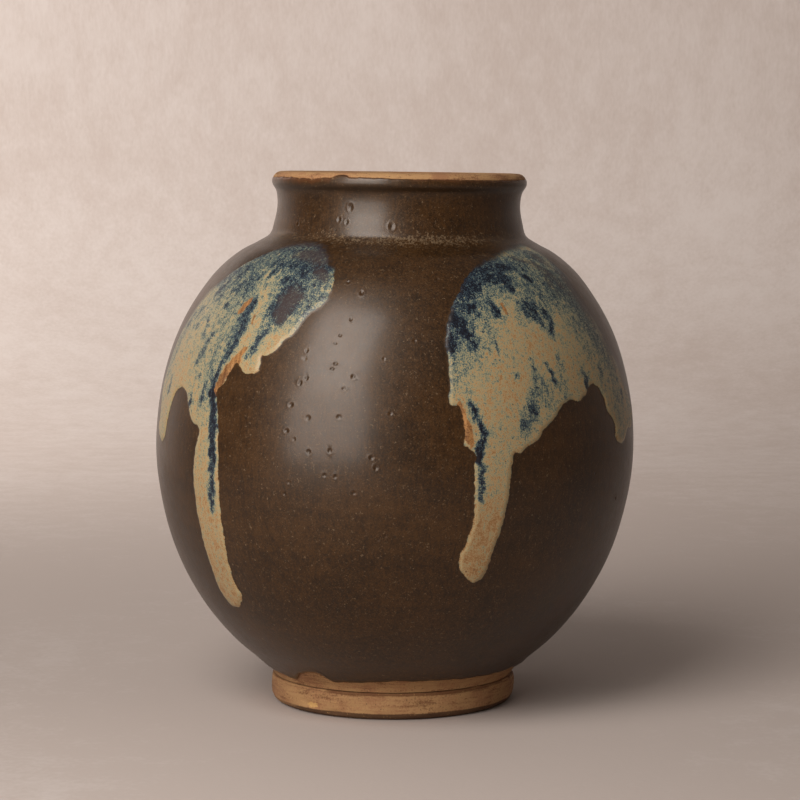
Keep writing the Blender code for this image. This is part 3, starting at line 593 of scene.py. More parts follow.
class Wall:
    """The outside of the glazed wall, followed by its length upwards from the heel."""

    def __init__(self, knots):
        line = numpy.array(smooth_line(knots, 40))
        self.radius, self.height = line[:, 0], line[:, 1]
        steps = numpy.hypot(numpy.diff(self.radius), numpy.diff(self.height))
        self.length = numpy.concatenate(([0.0], numpy.cumsum(steps)))
        self.out_r = numpy.gradient(self.height, self.length)
        self.out_z = -numpy.gradient(self.radius, self.length)

    def length_at(self, height):
        """How far up the wall a height is."""
        return numpy.interp(height, self.height, self.length)

    def height_at(self, length):
        """The height of a place on the wall."""
        return numpy.interp(length, self.length, self.height)

    def radius_at(self, length):
        """The radius of a place on the wall."""
        return numpy.interp(length, self.length, self.radius)

    def section(self, lengths):
        """Points of the wall's section, as (radius, height)."""
        return [(float(self.radius_at(length)), float(self.height_at(length))) for length in lengths]

    def place(self, azimuth, length, lift):
        """Points on the wall, lifted off it, in metres."""
        r = self.radius_at(length) + lift * numpy.interp(length, self.length, self.out_r)
        z = self.height_at(length) + lift * numpy.interp(length, self.length, self.out_z)
        return stand(azimuth, r, z)

    def upright(self, azimuth, length):
        """Points on the wall of a jar that doesn't lean, in millimetres, to measure between."""
        r = self.radius_at(length)
        return numpy.stack((r * numpy.sin(azimuth), -r * numpy.cos(azimuth),
                            self.height_at(length)), axis=-1)


def stand(azimuth, r, z):
    """Where a point of the round jar really is, uneven and leaning, in metres."""
    uneven = bpy.context.scene.jar_sizes.unevenness
    wander = (0.9 * numpy.sin(2 * azimuth + 0.8 + z / 90) + 0.55 * numpy.sin(3 * azimuth - 1.1 - z / 55)
              + 0.25 * numpy.sin(5 * azimuth + 2.0 + z / 31)
              + 0.2 * numpy.sin(z / 6.4 + 0.7 * numpy.sin(azimuth)))
    wander *= uneven * ease(14, 60, z) * (1 - 0.6 * ease(240, 262, z)) * numpy.clip(r / 60, 0, 1)
    r = r + wander
    share = z / RIM_HEIGHT
    tip = RIM_TIP * share
    shift = RIM_SHIFT * (0.2 * share + 0.8 * share * share) + FOOT_MIDDLE
    x = r * numpy.sin(azimuth)
    return numpy.stack((x * numpy.cos(tip) + shift, -r * numpy.cos(azimuth),
                        z - x * numpy.sin(tip)), axis=-1) * MM


wall = Wall(WALL_KNOTS)


def spin_round(line, steps, closed=True):
    """Spin a line of (radius, height) points about the axis."""
    mesh = bmesh.new()
    corners = [mesh.verts.new((0.0, -r, z)) for r, z in line]
    edges = [mesh.edges.new(pair) for pair in zip(corners, corners[1:])]
    if closed:
        edges.append(mesh.edges.new((corners[-1], corners[0])))
    bmesh.ops.spin(mesh, geom=corners + edges, cent=(0, 0, 0), axis=(0, 0, 1), dvec=(0, 0, 0),
                   angle=tau, steps=steps, use_merge=True, use_duplicate=False)
    bmesh.ops.remove_doubles(mesh, verts=mesh.verts[:], dist=MERGE_DISTANCE)
    return mesh


def points_of(mesh):
    """The points of a mesh as an array."""
    return numpy.array([vert.co[:] for vert in mesh.verts])


def spun_places(mesh):
    """The azimuth, radius and height of each point of a spun mesh."""
    points = points_of(mesh)
    return (numpy.arctan2(points[:, 0], -points[:, 1]), numpy.hypot(points[:, 0], points[:, 1]),
            points[:, 2])


def put_points(mesh, points):
    """Move the points of a mesh."""
    for vert, point in zip(mesh.verts, points):
        vert.co = point


def keep_values(mesh, **fields):
    """Keep numbers at each point by name, for the piece's material to read."""
    for name, values in fields.items():
        layer = mesh.verts.layers.float.new(name)
        for vert, value in zip(mesh.verts, values):
            vert[layer] = value


def finish_piece(name, mesh, look, sharp=50):
    """Turn a mesh in metres into the piece that stands for the CAD node of the same name."""
    bmesh.ops.remove_doubles(mesh, verts=mesh.verts[:], dist=MERGE_DISTANCE * MM)
    bmesh.ops.recalc_face_normals(mesh, faces=mesh.faces[:])
    if mesh.calc_volume(signed=True) < 0:
        bmesh.ops.reverse_faces(mesh, faces=mesh.faces[:])
    data = bpy.data.meshes.new(name)
    mesh.to_mesh(data)
    mesh.free()
    data.shade_smooth()
    data.set_sharp_from_angle(angle=radians(sharp))
    data.materials.append(look)
    piece = bpy.data.objects.new(name + "_finished", data)
    bpy.context.scene.collection.objects.link(piece)
    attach(piece, "root")
    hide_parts(name)


class Field:
    """A number that varies over a surface: a socket that can be reckoned with."""

    def __init__(self, finish, socket):
        self.finish = finish
        self.socket = socket

    def math(self, operation, *values):
        """The outcome of a math node."""
        return self.finish.node("ShaderNodeMath", {"operation": operation}, dict(enumerate(values)))

    def __add__(self, other):
        return self.math("ADD", self, other)

    def __sub__(self, other):
        return self.math("SUBTRACT", self, other)

    def __rsub__(self, other):
        return self.math("SUBTRACT", other, self)

    def __mul__(self, other):
        return self.math("MULTIPLY", self, other)

    __radd__ = __add__
    __rmul__ = __mul__

    def between(self, low, high):
        """From 0 where this is low to 1 where it is high, with soft ends."""
        return self.finish.node("ShaderNodeMapRange", {"interpolation_type": "SMOOTHSTEP"},
                                {"Value": self, "From Min": low, "From Max": high})


class Finish:
    """A material under construction, built from noise, masks and mixed colours."""

    def __init__(self, name):
        self.material = bpy.data.materials.new(name)
        self.material.use_nodes = True
        self.tree = self.material.node_tree
        self.shader = self.tree.nodes["Principled BSDF"]
        self.place = self.node("ShaderNodeTexCoord", {}, {}, "Object")

    def node(self, kind, settings, values, output=0):
        """Add a node of a type, with its settings first and then its sockets' values or links."""
        made = self.tree.nodes.new(kind)
        for key, value in settings.items():
            if key == "stops":
                self.set_stops(made.color_ramp.elements, value)
            else:
                setattr(made, key, value)
        for key, value in values.items():
            self.feed(made.inputs[key], value)
        return Field(self, made.outputs[output])

    def set_stops(self, elements, stops):
        """Give a colour ramp its stops, as (position, colour)."""
        elements.remove(elements[1])
        for index, (position, colour) in enumerate(stops):
            stop = elements[0] if index == 0 else elements.new(position)
            stop.position = position
            stop.color = (*colour, 1.0)

    def feed(self, socket, value):
        """Give a socket a link or a fixed value."""
        if isinstance(value, Field):
            self.tree.links.new(value.socket, socket)
        elif isinstance(value, tuple) and len(value) == 3 and socket.type == "RGBA":
            socket.default_value = (*value, 1.0)
        else:
            socket.default_value = value

    def mapped(self, scale):
        """The place on the piece, stretched."""
        return self.node("ShaderNodeMapping", {}, {"Vector": self.place, "Scale": scale})

    def grain(self, size, where=None, detail=2.0, roughness=0.5):
        """Soft noise about 0.5 whose blotches have a size in millimetres."""
        return self.node("ShaderNodeTexNoise", {},
                         {"Vector": where or self.place, "Scale": 1.0 / (size * MM),
                          "Detail": detail, "Roughness": roughness})

    def flow(self, across, along, shift=0.0):
        """Noise drawn out down the wall, across and along in millimetres, on the flow map."""
        uv = self.node("ShaderNodeUVMap", {"uv_map": "flow"}, {})
        moved = self.node("ShaderNodeMapping", {},
                          {"Vector": uv, "Scale": (1 / across, 1 / along, 1.0),
                           "Location": (shift, shift, 0.0)})
        return self.node("ShaderNodeTexNoise", {}, {"Vector": moved, "Scale": 1.0, "Detail": 3.0})

    def spots(self, size, share, reach):
        """Small round spots, 1 inside and 0 outside, on a share of cells of a size."""
        settings = {"Vector": self.place, "Scale": 1.0 / (size * MM)}
        cells = self.node("ShaderNodeTexVoronoi", {}, settings, "Distance")
        chance = self.node("ShaderNodeTexVoronoi", {}, settings, "Color")
        chance = self.node("ShaderNodeSeparateColor", {}, {"Color": chance}, 0)
        return cells.between(reach, reach * 0.45) * chance.between(share + 0.02, share - 0.02)

    def value(self, name):
        """A number kept at the points of the piece."""
        return self.node("ShaderNodeAttribute", {"attribute_name": name}, {}, "Fac")

    def mix(self, share, first, second):
        """Two colours mixed by a share."""
        made = self.tree.nodes.new("ShaderNodeMix")
        made.data_type = "RGBA"
        self.feed(made.inputs["Factor"], share)
        self.feed(made.inputs[6], first)
        self.feed(made.inputs[7], second)
        return Field(self, made.outputs[2])

    def bump(self, height, distance):
        """A normal that follows a height, whose full range is a distance in millimetres."""
        return self.node("ShaderNodeBump", {}, {"Height": height, "Distance": distance * MM})

    def skin(self, weight):
        """The clear skin of a fired glaze, and the warm sheen of the iron under it."""
        self.feed(self.shader.inputs["Coat Weight"], weight)
        self.feed(self.shader.inputs["Coat Roughness"], SKIN_ROUGHNESS)
        self.feed(self.shader.inputs["Specular Tint"], IRON_TINT)

    def wear(self, colour, roughness, normal, specular):
        """Connect the finished colour, roughness and normal to the shader."""
        self.feed(self.shader.inputs["Base Color"], colour)
        self.feed(self.shader.inputs["Roughness"], roughness)
        self.feed(self.shader.inputs["Normal"], normal)
        self.feed(self.shader.inputs["Specular IOR Level"], specular)
        return self.material


def colours():
    """The colours that the panel shows, by name."""
    chosen = bpy.context.scene.jar_colours
    return {name: tuple(getattr(chosen, name)) for name in JarColours.__annotations__}


def brown_coat(finish):
    """The colour, roughness and height of the brown glaze, the same wherever it shows."""
    tint = colours()
    cloud = finish.grain(34.0, detail=3.0)
    patch = finish.grain(6.0, detail=2.0)
    rings = finish.grain(9.0, finish.mapped((0.12, 0.12, 1.6)), detail=3.0)
    fine = finish.grain(1.1, detail=3.0, roughness=0.7)
    dust = finish.grain(0.6, detail=2.0, roughness=0.7)
    run = finish.grain(1.5, finish.mapped((1.0, 1.0, 0.22)), detail=2.0)
    tone = cloud * 0.36 + patch * 0.22 + rings * 0.18 + fine * 0.70 + dust * 0.55 + run * 0.40
    tone = tone.between(0.98, 1.42)
    colour = finish.mix(tone, tint["brown_dark"], tint["brown"])
    speck = dust.between(0.60, 0.72) * patch.between(0.40, 0.62)
    colour = finish.mix(speck * 0.30, colour, tint["brown_fleck"])
    flecks = finish.spots(7.0, 0.13, 0.10)
    colour = finish.mix(flecks * 0.45, colour, tint["brown_fleck"])
    holes = finish.spots(8.0, 0.16, 0.12)
    colour = finish.mix(holes * 0.6, colour, PITCH)
    roughness = 0.27 + patch * 0.14 + fine * 0.16
    peel = finish.grain(3.2, detail=1.0)
    height = fine * 0.7 + dust * 0.5 + peel * 0.9 + rings * 0.3 + run * 0.5 - holes * 1.5 + flecks * 0.4
    return colour, roughness, height


def brown_glaze(name, edges=True):
    """The brown glaze, rust-brown where it thins at its edges, dusty and with a painted sheen at the
    neck's root, and with painted shade over its dark pool under the lip.
    """
    tint = colours()
    finish = Finish(name)
    colour, roughness, height = brown_coat(finish)
    if edges:
        ragged = finish.grain(2.2, detail=3.0) - 0.5
        stipple = finish.grain(0.8, detail=2.0) - 0.5
        low = finish.value("low_edge") + ragged * 1.6
        top = finish.value("top_edge") + ragged * 2.0 + stipple * 2.4
        colour = finish.mix(low.between(1.1, 0.1) * 0.55, colour, tint["clay_stain"])
        patchy = finish.grain(16.0, detail=2.0).between(0.40, 0.60)
        rusty = finish.value("rusty")
        thin = top.between(1.2 + rusty * 3.0, 0.1) * (0.24 + rusty * 0.24)
        thin = thin + top.between(3.4, 0.6) * patchy * 0.2
        burnt = finish.mix((stipple + ragged + 0.5).between(0.58, 0.95),
                           tint["clay_stain"], tint["rust"])
        colour = finish.mix(thin, colour, burnt)
        # Painted shade under the lip's bead, over the dark glaze that pools there
        colour = finish.mix(finish.value("pool") * 0.75, colour, tint["brown_dark"])
        colour = finish.mix(finish.value("pit").between(0.35, 0.95) * 0.6, colour, tint["brown_dark"])
        # Pale dust at the root of the neck, with a painted sheen along it
        crust_and_sheen = (finish.value("root") + stipple * 4.0 + ragged * 3.0).between(0.55, 1.45)
        colour = finish.mix(crust_and_sheen * 0.5, colour, tint["brown_fleck"])
        roughness = roughness + crust_and_sheen * 0.2
    finish.skin(SKIN)
    return finish.wear(colour, roughness, finish.bump(height, 0.05), GLAZE_SPECULAR)


def bare_clay(name):
    """Bare buff stoneware with flashing, stains and small dark specks."""
    tint = colours()
    finish = Finish(name)
    cloud = finish.grain(15.0, detail=3.0)
    fine = finish.grain(0.9, detail=4.0, roughness=0.7)
    turned = finish.grain(2.6, finish.mapped((0.22, 0.22, 2.2)), detail=3.0)
    colour = finish.mix((cloud * 0.7 + turned * 0.3 + (fine - 0.5) * 0.7).between(0.40, 0.64),
                        tint["clay"], tint["clay_pink"])
    stain = (finish.grain(7.0, finish.mapped((0.6, 0.6, 1.5)), detail=3.0)
             + (fine - 0.5) * 0.8 + (turned - 0.5) * 0.6)
    colour = finish.mix(stain.between(0.57, 0.76) * 0.6, colour, tint["clay_stain"])
    dots = finish.spots(1.5, 0.42, 0.27) * finish.grain(12.0).between(0.38, 0.56)
    colour = finish.mix(dots * 0.75, colour, CINDER)
    # How much darker the clay is made: stains by the glaze and on the foot, and the open groove of the
    # foot
    dirt = finish.value("dirt") + (turned - 0.5) * 0.9 + (fine - 0.5) * 0.9
    colour = finish.mix(dirt.between(0.28, 0.85) * 0.75, colour, tint["clay_stain"])
    burnt = (finish.value("burnt") + (fine - 0.5) * 0.6 + (turned - 0.5) * 0.3).between(0.3, 0.8)
    colour = finish.mix(burnt * 0.85, colour, tint["clay_burnt"])
    crumb = finish.grain(1.8, detail=4.0, roughness=0.7)
    bright = (finish.value("chip") + (crumb - 0.5) * 3.4 + (fine - 0.5) * 1.0).between(0.50, 0.85)
    colour = finish.mix(bright, colour, tint["chip"])
    height = fine * 0.8 + turned * 0.6 - dots * 0.8
    return finish.wear(colour, 0.74 + fine * 0.16, finish.bump(height, 0.18), 0.3)


def splash_glaze(name):
    """The poured glaze, from ochre and buff through sage to blue-black, breaking along its flow."""
    tint = colours()
    finish = Finish(name)
    brown, brown_rough, brown_height = brown_coat(finish)
    streak = finish.flow(2.4, 18.0)
    thread = finish.flow(0.9, 5.0, 5.0)
    grit = finish.grain(0.75, detail=3.0, roughness=0.75)
    clot = finish.grain(2.6, detail=4.0, roughness=0.6)
    blue = finish.value("tone")
    tone = (blue + 0.03 + (grit - 0.5) * (1.45 + blue * 0.85) + (clot - 0.5) * 0.95
            + (thread - 0.5) * 0.40 + (streak - 0.5) * 0.32)
    stops = [(position, tint[key]) for key, position in TONE_STOPS]
    colour = finish.node("ShaderNodeValToRGB", {"stops": stops}, {"Fac": tone})
    rim = (finish.value("rim") + (grit - 0.5) * 1.2).between(0.25, 0.95)
    colour = finish.mix(rim * 0.5, colour, tint["cream"])
    dull = (finish.value("slate") * 0.25 + (grit - 0.5) * 1.6 + (clot - 0.5) * 1.8).between(-0.7, 0.9)
    colour = finish.mix(dull * 0.72, colour, tint["slate"])
    rust = (finish.value("rust") + (clot - 0.5) * 1.4 + (grit - 0.5) * 0.8).between(-0.3, 0.4)
    rusty = finish.mix((streak * 0.5 + grit * 0.5).between(0.38, 0.62),
                       tint["clay_stain"], tint["rust"])
    colour = finish.mix(rust * 0.92, colour, rusty)
    holes = finish.spots(4.0, 0.22, 0.13)
    colour = finish.mix(holes * 0.75, colour, tint["black"])

    covered = (finish.value("cover") + (grit - 0.5) * 1.5 + (clot - 0.5) * 1.5).between(-0.55, 0.55)
    height = thread * 0.5 + clot * 0.8 + grit * 0.5 - holes * 1.5
    colour = finish.mix(covered, brown, colour)
    roughness = brown_rough * (1 - covered) + (0.38 + grit * 0.14) * covered
    bumps = brown_height * (1 - covered) + height * covered
    finish.skin(SKIN - covered * (SKIN / 2))
    return finish.wear(colour, roughness, finish.bump(bumps, 0.06), GLAZE_SPECULAR)


class JAR_OT_clay(Operator):
    """Give the clay sections that the glaze hides their bare clay finish"""

    bl_idname = "jar.clay"
    bl_label = "Hidden clay"

    def execute(self, context):
        for name in ("upper_body", "neck"):
            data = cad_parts[name].data
            look = bare_clay(name + "_clay")
            if data.materials:
                data.materials[0] = look
            else:
                data.materials.append(look)
        return {"FINISHED"}


def foot_section(outer, top, well):
    """The foot ring's section, from the well over the resting face and the side to the groove."""
    groove, back = top - GROOVE_HEIGHT, outer - GROOVE_REACH
    corners = [
        (well, 8.0), (well, 1.5), (well + 1.5, 0.0), (outer - 4.0, 0.0), (outer - 1.2, 1.6),
        (outer, 4.0), (outer + 0.1, 8.0), (outer - 0.1, groove), (back, groove + 0.7),
        (back, top), (well, top), (well, 8.0),
    ]
    line = rounded(corners, FOOT_CORNER)
    dense = []
    for before, after in zip(line, line[1:]):
        count = max(1, int((Vector(after) - Vector(before)).length / FOOT_SPACING))
        dense += [tuple(Vector(before).lerp(Vector(after), step / count)) for step in range(count)]
    return dense


def foot_chips(azimuth, z, radius, outside):
    """How deep the foot is chipped at each place, and how fresh the clay in the chip is."""
    deep = numpy.zeros_like(z)
    bright = numpy.zeros_like(z)
    for where, height, wide, tall, depth, fresh in FOOT_CHIPS:
        far = (turn_past(azimuth, where) * radius / wide) ** 2 + ((z - height) / tall) ** 2
        dent = numpy.exp(-far ** 2) * outside
        deep += dent * depth
        bright = numpy.maximum(bright, dent * fresh)
    return deep, bright


class JAR_OT_foot_ring(Operator):
    """Turn the foot ring, with its chamfer, its groove and its chips"""

    bl_idname = "jar.foot_ring"
    bl_label = "Foot ring"

    def execute(self, context):
        sizes = context.scene.jar_sizes
        outer, top = sizes.foot_radius, sizes.foot_height
        groove = top - GROOVE_HEIGHT
        mesh = spin_round(foot_section(outer, top, sizes.well_radius), FINE_FACETS)
        azimuth, r, z = spun_places(mesh)
        outside = ease(outer - 6, outer - 3, r)
        uneven = 0.20 * numpy.sin(7 * azimuth + z / 3) + 0.12 * numpy.sin(13 * azimuth - z / 2)
        uneven += 0.08 * numpy.sin(z * 2.4 + 0.8 * numpy.sin(azimuth))
        uneven += 0.06 * numpy.sin(41 * azimuth + z * 1.3) * numpy.sin(29 * azimuth - z)
        chip, bright = foot_chips(azimuth, z, outer, outside)
        open_share = around(GROOVE_DEPTH, azimuth)
        in_groove = ease(groove + 0.1, groove + 0.7, z) * outside
        r = r + in_groove * (1 - open_share) * 1.1
        r = r + (uneven * ease(0.2, 3, z) - chip) * outside
        # Where the groove is open it is painted darker, broken along its length and darkest at its step;
        # the side of the foot also has stains
        broken = 0.75 + 0.25 * numpy.sin(9 * azimuth + 1) * numpy.sin(23 * azimuth)
        dirt = in_groove * open_share * 1.1 * broken
        dirt = dirt + 0.42 * numpy.exp(-((z - groove) / 1.0) ** 2) * open_share * outside
        dirt = dirt + around(FOOT_STAIN, azimuth) * outside
        burnt = around(FOOT_BURN, azimuth) * ease(4.4, 3.2, z) + 0.5 * ease(1.6, 0.4, z)
        put_points(mesh, stand(azimuth, r, z))
        keep_values(mesh, dirt=dirt * (1 - bright), burnt=burnt * (1 - bright) * outside, chip=bright)
        finish_piece("foot_ring", mesh, bare_clay("foot_clay"))
        return {"FINISHED"}


class JAR_OT_lower_body(Operator):
    """Build the lower thrown section, with its bare heel and turned base"""

    bl_idname = "jar.lower_body"
    bl_label = "Lower body"

    def execute(self, context):
        sizes = context.scene.jar_sizes
        boss = sizes.well_radius - 0.3
        foot = wall.length_at(HEEL_HEIGHT)
        belly = wall.length_at(BELLY_HEIGHT)
        lengths = numpy.concatenate((numpy.arange(foot, foot + 14, 0.5),
                                     numpy.arange(foot + 14, belly, 6.0), [belly]))
        base = [(boss * share, BASE_HEIGHT) for share in numpy.linspace(0, 1, 40)]
        heel = [(boss, 12.0), (boss, HEEL_HEIGHT), (60.0, HEEL_HEIGHT)]
        inside = [(r + CLAY_BEHIND, z) for r, z in INSIDE_KNOTS if z <= BELLY_HEIGHT]
        inside[0] = (45.0, CLAY_FLOOR)
        inside[1] = (63.6, 30.2)
        line = base + heel + wall.section(lengths) + inside[::-1] + [(0.0, CLAY_FLOOR)]
        mesh = spin_round(line, FACETS, closed=False)
        azimuth, r, z = spun_places(mesh)
        skin = (z >= HEEL_HEIGHT) & (numpy.abs(r - wall.radius_at(wall.length_at(z))) < 0.2)
        length = wall.length_at(z)
        edge = wall.length_at(around(FOOT_GLAZE_EDGE, azimuth))
        lift = -0.30 - 0.85 * ease(edge - 0.4, edge + 1.2, length)
        places = stand(azimuth, r, z)
        places[skin] = wall.place(azimuth[skin], length[skin], lift[skin])
        under = z < BASE_HEIGHT + 0.1
        spiral = 0.22 * numpy.sin(r * 1.9 + azimuth) * ease(2, 10, r) * ease(boss, boss - 4, r)
        places[under, 2] += spiral[under] * MM
        put_points(mesh, places)
        dirt = numpy.where(skin, 0.20 + 0.34 * ease(1.8, 0.2, edge - length), 0.15)
        turn = numpy.degrees(azimuth)
        notch = ease(-54, -48, turn) * ease(-27, -31, turn)
        keep_values(mesh, dirt=dirt + 0.25 * notch * skin)
        finish_piece("lower_body", mesh, bare_clay("body_clay"))
        return {"FINISHED"}


class JAR_OT_lip(Operator):
    """Roll the lip, bare on its crown"""

    bl_idname = "jar.lip"
    bl_label = "Lip"

    def execute(self, context):
        start, end = wall.length_at(LIP_START), wall.length[-1]
        line = wall.section(numpy.arange(start, end, 0.4)) + smooth_line(LIP_ROLL, 4)
        mesh = spin_round(line, FINE_FACETS)
        azimuth, r, z = spun_places(mesh)
        crown = LIP_ROLL[0][0]
        outside = r > crown - 0.1
        length = numpy.where(z < RIM_HEIGHT - 0.01, wall.length_at(z), end - (r - crown))
        edge = wall.length_at(around(LIP_GLAZE_EDGE, azimuth))
        lift = -0.25 - 0.85 * ease(edge + 0.2, edge - 1.2, length)
        nicks = (0.22 * numpy.sin(9 * azimuth + 1) + 0.16 * numpy.sin(23 * azimuth)
                 + 0.1 * numpy.sin(47 * azimuth))
        lift -= 0.5 * numpy.clip(nicks, 0, 1) * ease(edge, edge + 1.5, length)
        places = stand(azimuth, r, z)
        places[outside] = wall.place(azimuth[outside], length[outside], lift[outside])
        put_points(mesh, places)
        turn = numpy.degrees(azimuth)
        # The crown is darker next to the glaze edge, and a little darker from the right round to the back
        dirt = 0.10 + 0.45 * ease(1.0, 0.0, length - edge) * outside + 0.06 * ease(20, 70, turn)
        keep_values(mesh, dirt=dirt)
        finish_piece("lip", mesh, bare_clay("lip_clay"), 60)
        return {"FINISHED"}


def rolled_coat(low, top, thick, columns):
    """The outer glaze on the drum, finer at its edges, in the band under the lip and near pits."""
    band, shoulder = wall.length_at(BAND_HEIGHT), wall.length_at(SHOULDER_HEIGHT)
    rows = numpy.concatenate((numpy.arange(low, low + 8, 0.5), numpy.arange(low + 8, band, 2.1),
                              numpy.arange(band, top, 0.55), [top]))
    back = numpy.concatenate(([top], numpy.arange(top - 2, band - 3, -1.8),
                              numpy.arange(band - 6, shoulder, -3.5),
                              numpy.arange(shoulder, low + 3, -11.0), [low]))
    line = [(DRUM_RADIUS, length) for length in rows]
    line += [(DRUM_RADIUS - thick, length) for length in back]
    mesh = spin_round(line, columns)
    azimuth, r, length = spun_places(mesh)
    near = numpy.zeros(len(r), dtype=bool)
    for where, height, radius, depth in PITS:
        across = turn_past(azimuth, where) * wall.radius_at(length)
        near |= numpy.hypot(across, length - wall.length_at(height)) < radius * 1.9 + 1.2
    near &= r > DRUM_RADIUS - 0.01
    chosen = {vert for vert, is_near in zip(mesh.verts, near) if is_near}
    edges = [edge for edge in mesh.edges if edge.verts[0] in chosen and edge.verts[1] in chosen]
    bmesh.ops.subdivide_edges(mesh, edges=edges, cuts=3, use_grid_fill=True)
    return mesh


def sink_pits(azimuth, length, lift, outside):
    """The lift of the outer glaze with its pits sunk in, and how deep in a pit each place is."""
    pit = numpy.zeros_like(lift)
    for where, height, radius, depth in PITS:
        across = turn_past(azimuth, where) * wall.radius_at(length)
        squash = 1 + 0.14 * numpy.sin(7.0 * where + height)
        far = numpy.hypot(across * squash, (length - wall.length_at(height)) / squash) / radius
        pit = numpy.maximum(pit, numpy.exp(-(far * 1.5) ** 4) * outside)
        lift = lift - 0.8 * depth * numpy.exp(-(far * 1.5) ** 2) * outside
        lift = lift + 0.22 * depth * numpy.exp(-((far - 1.25) * 3.0) ** 2) * outside
    return lift, pit


class JAR_OT_outer_glaze(Operator):
    """Coat the outside with the brown glaze, with its pinholes and its ragged edges"""

    bl_idname = "jar.outer_glaze"
    bl_label = "Outer glaze"

    def execute(self, context):
        sizes = context.scene.jar_sizes
        low, top = wall.length_at(GLAZE_LOW), wall.length_at(GLAZE_TOP)
        mesh = rolled_coat(low, top, sizes.glaze_thickness, sizes.columns)
        azimuth, r, length = spun_places(mesh)
        lift = r - DRUM_RADIUS
        outside = lift > -0.01
        foot_edge = wall.length_at(around(FOOT_GLAZE_EDGE, azimuth))
        foot_edge = foot_edge + 0.25 * numpy.sin(31 * azimuth) + 0.2 * numpy.sin(67 * azimuth + 1)
        lip_edge = wall.length_at(around(LIP_GLAZE_EDGE, azimuth))
        rusty = around(LIP_RUST, azimuth)
        lip_edge = lip_edge + (0.12 + 0.14 * rusty) * (
            numpy.sin(37 * azimuth) + numpy.sin(83 * azimuth + 2) + 0.8 * numpy.sin(139 * azimuth + 1))
        length = length + (foot_edge - low) * (1 - ease(low, low + 26, length))
        length = length + (lip_edge - top) * ease(top - 7, top, length)
        above, below = length - foot_edge, lip_edge - length
        rim = numpy.minimum(above, below)
        lift = numpy.where(outside, lift - 0.42 * (1 - ease(0, 0.9, rim)), lift)
        lift = lift + 0.22 * numpy.exp(-((above - 2.6) / 1.6) ** 2) * outside
        lift, pit = sink_pits(azimuth, length, lift, outside)
        # The band under the bead that is painted dark: pooled glaze and painted shade
        pool = numpy.exp(-((length - wall.length_at(SHADE_POOL_HEIGHT)) / 1.9) ** 2) * outside
        # How strongly the root of the neck is dusted and painted with a pale sheen
        root = numpy.exp(-((length - wall.length_at(ROOT_HEIGHT)) / 4.5) ** 2)
        put_points(mesh, wall.place(azimuth, length, lift))
        keep_values(mesh, low_edge=above, top_edge=below, pit=pit, pool=pool, rusty=rusty,
                    root=root * around(ROOT_DUST_AND_SHEEN, azimuth))
        finish_piece("outer_glaze", mesh, brown_glaze("outer_brown_glaze"))
        return {"FINISHED"}


class JAR_OT_inner_glaze(Operator):
    """Coat the inside with the brown glaze, down to the floor"""

    bl_idname = "jar.inner_glaze"
    bl_label = "Inner glaze"

    def execute(self, context):
        thick = context.scene.jar_sizes.glaze_thickness
        flat, floor = INSIDE_KNOTS[0]
        face = [(r, floor) for r in numpy.linspace(0, flat, 24)[:-1]] + smooth_line(INSIDE_KNOTS, 6)
        back = [(r + thick, z) for r, z in INSIDE_KNOTS[1:]]
        line = face + back[::-1] + [(flat, floor - thick), (0.0, floor - thick)]
        mesh = spin_round(line, FACETS, closed=False)
        azimuth, r, z = spun_places(mesh)
        throw = 0.35 * numpy.sin(z / 1.9 + azimuth) * ease(30, 60, z) * ease(262, 244, z)
        coil = 0.5 * numpy.sin(r / 2.6 - azimuth) * ease(2, 8, r) * ease(44, 36, r) * (z > floor - 0.1)
        behind = numpy.round([height for radius, height in back], 3)
        r = r + throw * numpy.isin(numpy.round(z, 3), behind, invert=True)
        waves = 0.5 * numpy.sin(6 * azimuth) + 0.3 * numpy.sin(13 * azimuth)
        z = z + coil + waves * ease(276, 280, z)
        put_points(mesh, stand(azimuth, r, z))
        finish_piece("inner_glaze", mesh, brown_glaze("inner_brown_glaze", False))
        return {"FINISHED"}


def inside_outline(azimuth, length, outline):
    """Which places of the rolled-out wall lie inside a closed outline."""
    inside = numpy.zeros(len(azimuth), dtype=bool)
    for (turn, up), (next_turn, next_up) in zip(outline, numpy.roll(outline, -1, axis=0)):
        crosses = (up > length) != (next_up > length)
        if crosses.any():
            where = turn + (length - up) / (next_up - up + 1e-12) * (next_turn - turn)
            inside ^= crosses & (azimuth < where)
    return inside


def spans_from(points, line):
    """For each span of a line, where on it points are nearest, from 0 to 1, and how far off."""
    for start, end in zip(line, line[1:]):
        along = end - start
        share = numpy.clip(((points - start) @ along) / max(along @ along, 1e-9), 0, 1)
        gap = points - start - share[:, None] * along
        yield share, numpy.sqrt(numpy.einsum("ij,ij->i", gap, gap))


def distance_to(points, line):
    """How far points are from a line of points, in millimetres."""
    nearest = numpy.full(len(points), 1e3)
    for share, gap in spans_from(points, line):
        nearest = numpy.minimum(nearest, gap)
    return nearest


def stroke_depth(points, half_width, way):
    """How far inside a stroke that tapers at its ends each point is, negative outside."""
    turns, heights = zip(*way)
    line = wall.upright(numpy.radians(turns), wall.length_at(heights))
    if len(line) == 1:
        line = numpy.repeat(line, 2, axis=0)
    depth = numpy.full(len(points), -30.0)
    for index, (share, gap) in enumerate(spans_from(points, line)):
        whole = (index + share) / (len(line) - 1)
        narrow = 1 - 0.55 * numpy.abs(2 * whole - 1) ** 2.5 * (len(way) > 1)
        depth = numpy.maximum(depth, half_width * narrow - gap)
    return depth


def deepest(points, strokes):
    """How far inside the nearest of some strokes each point is."""
    return numpy.max([stroke_depth(points, half_width, way) for half_width, way in strokes], axis=0)


def nearness(azimuth, length, where, height, across, along):
    """How near each place is to the middle of a soft region of the wall, up to 1."""
    middle = wall.length_at(height)
    wide = (azimuth - radians(where)) * wall.radius_at(middle)
    return numpy.exp(-(wide / across) ** 2 - ((length - middle) / along) ** 2)


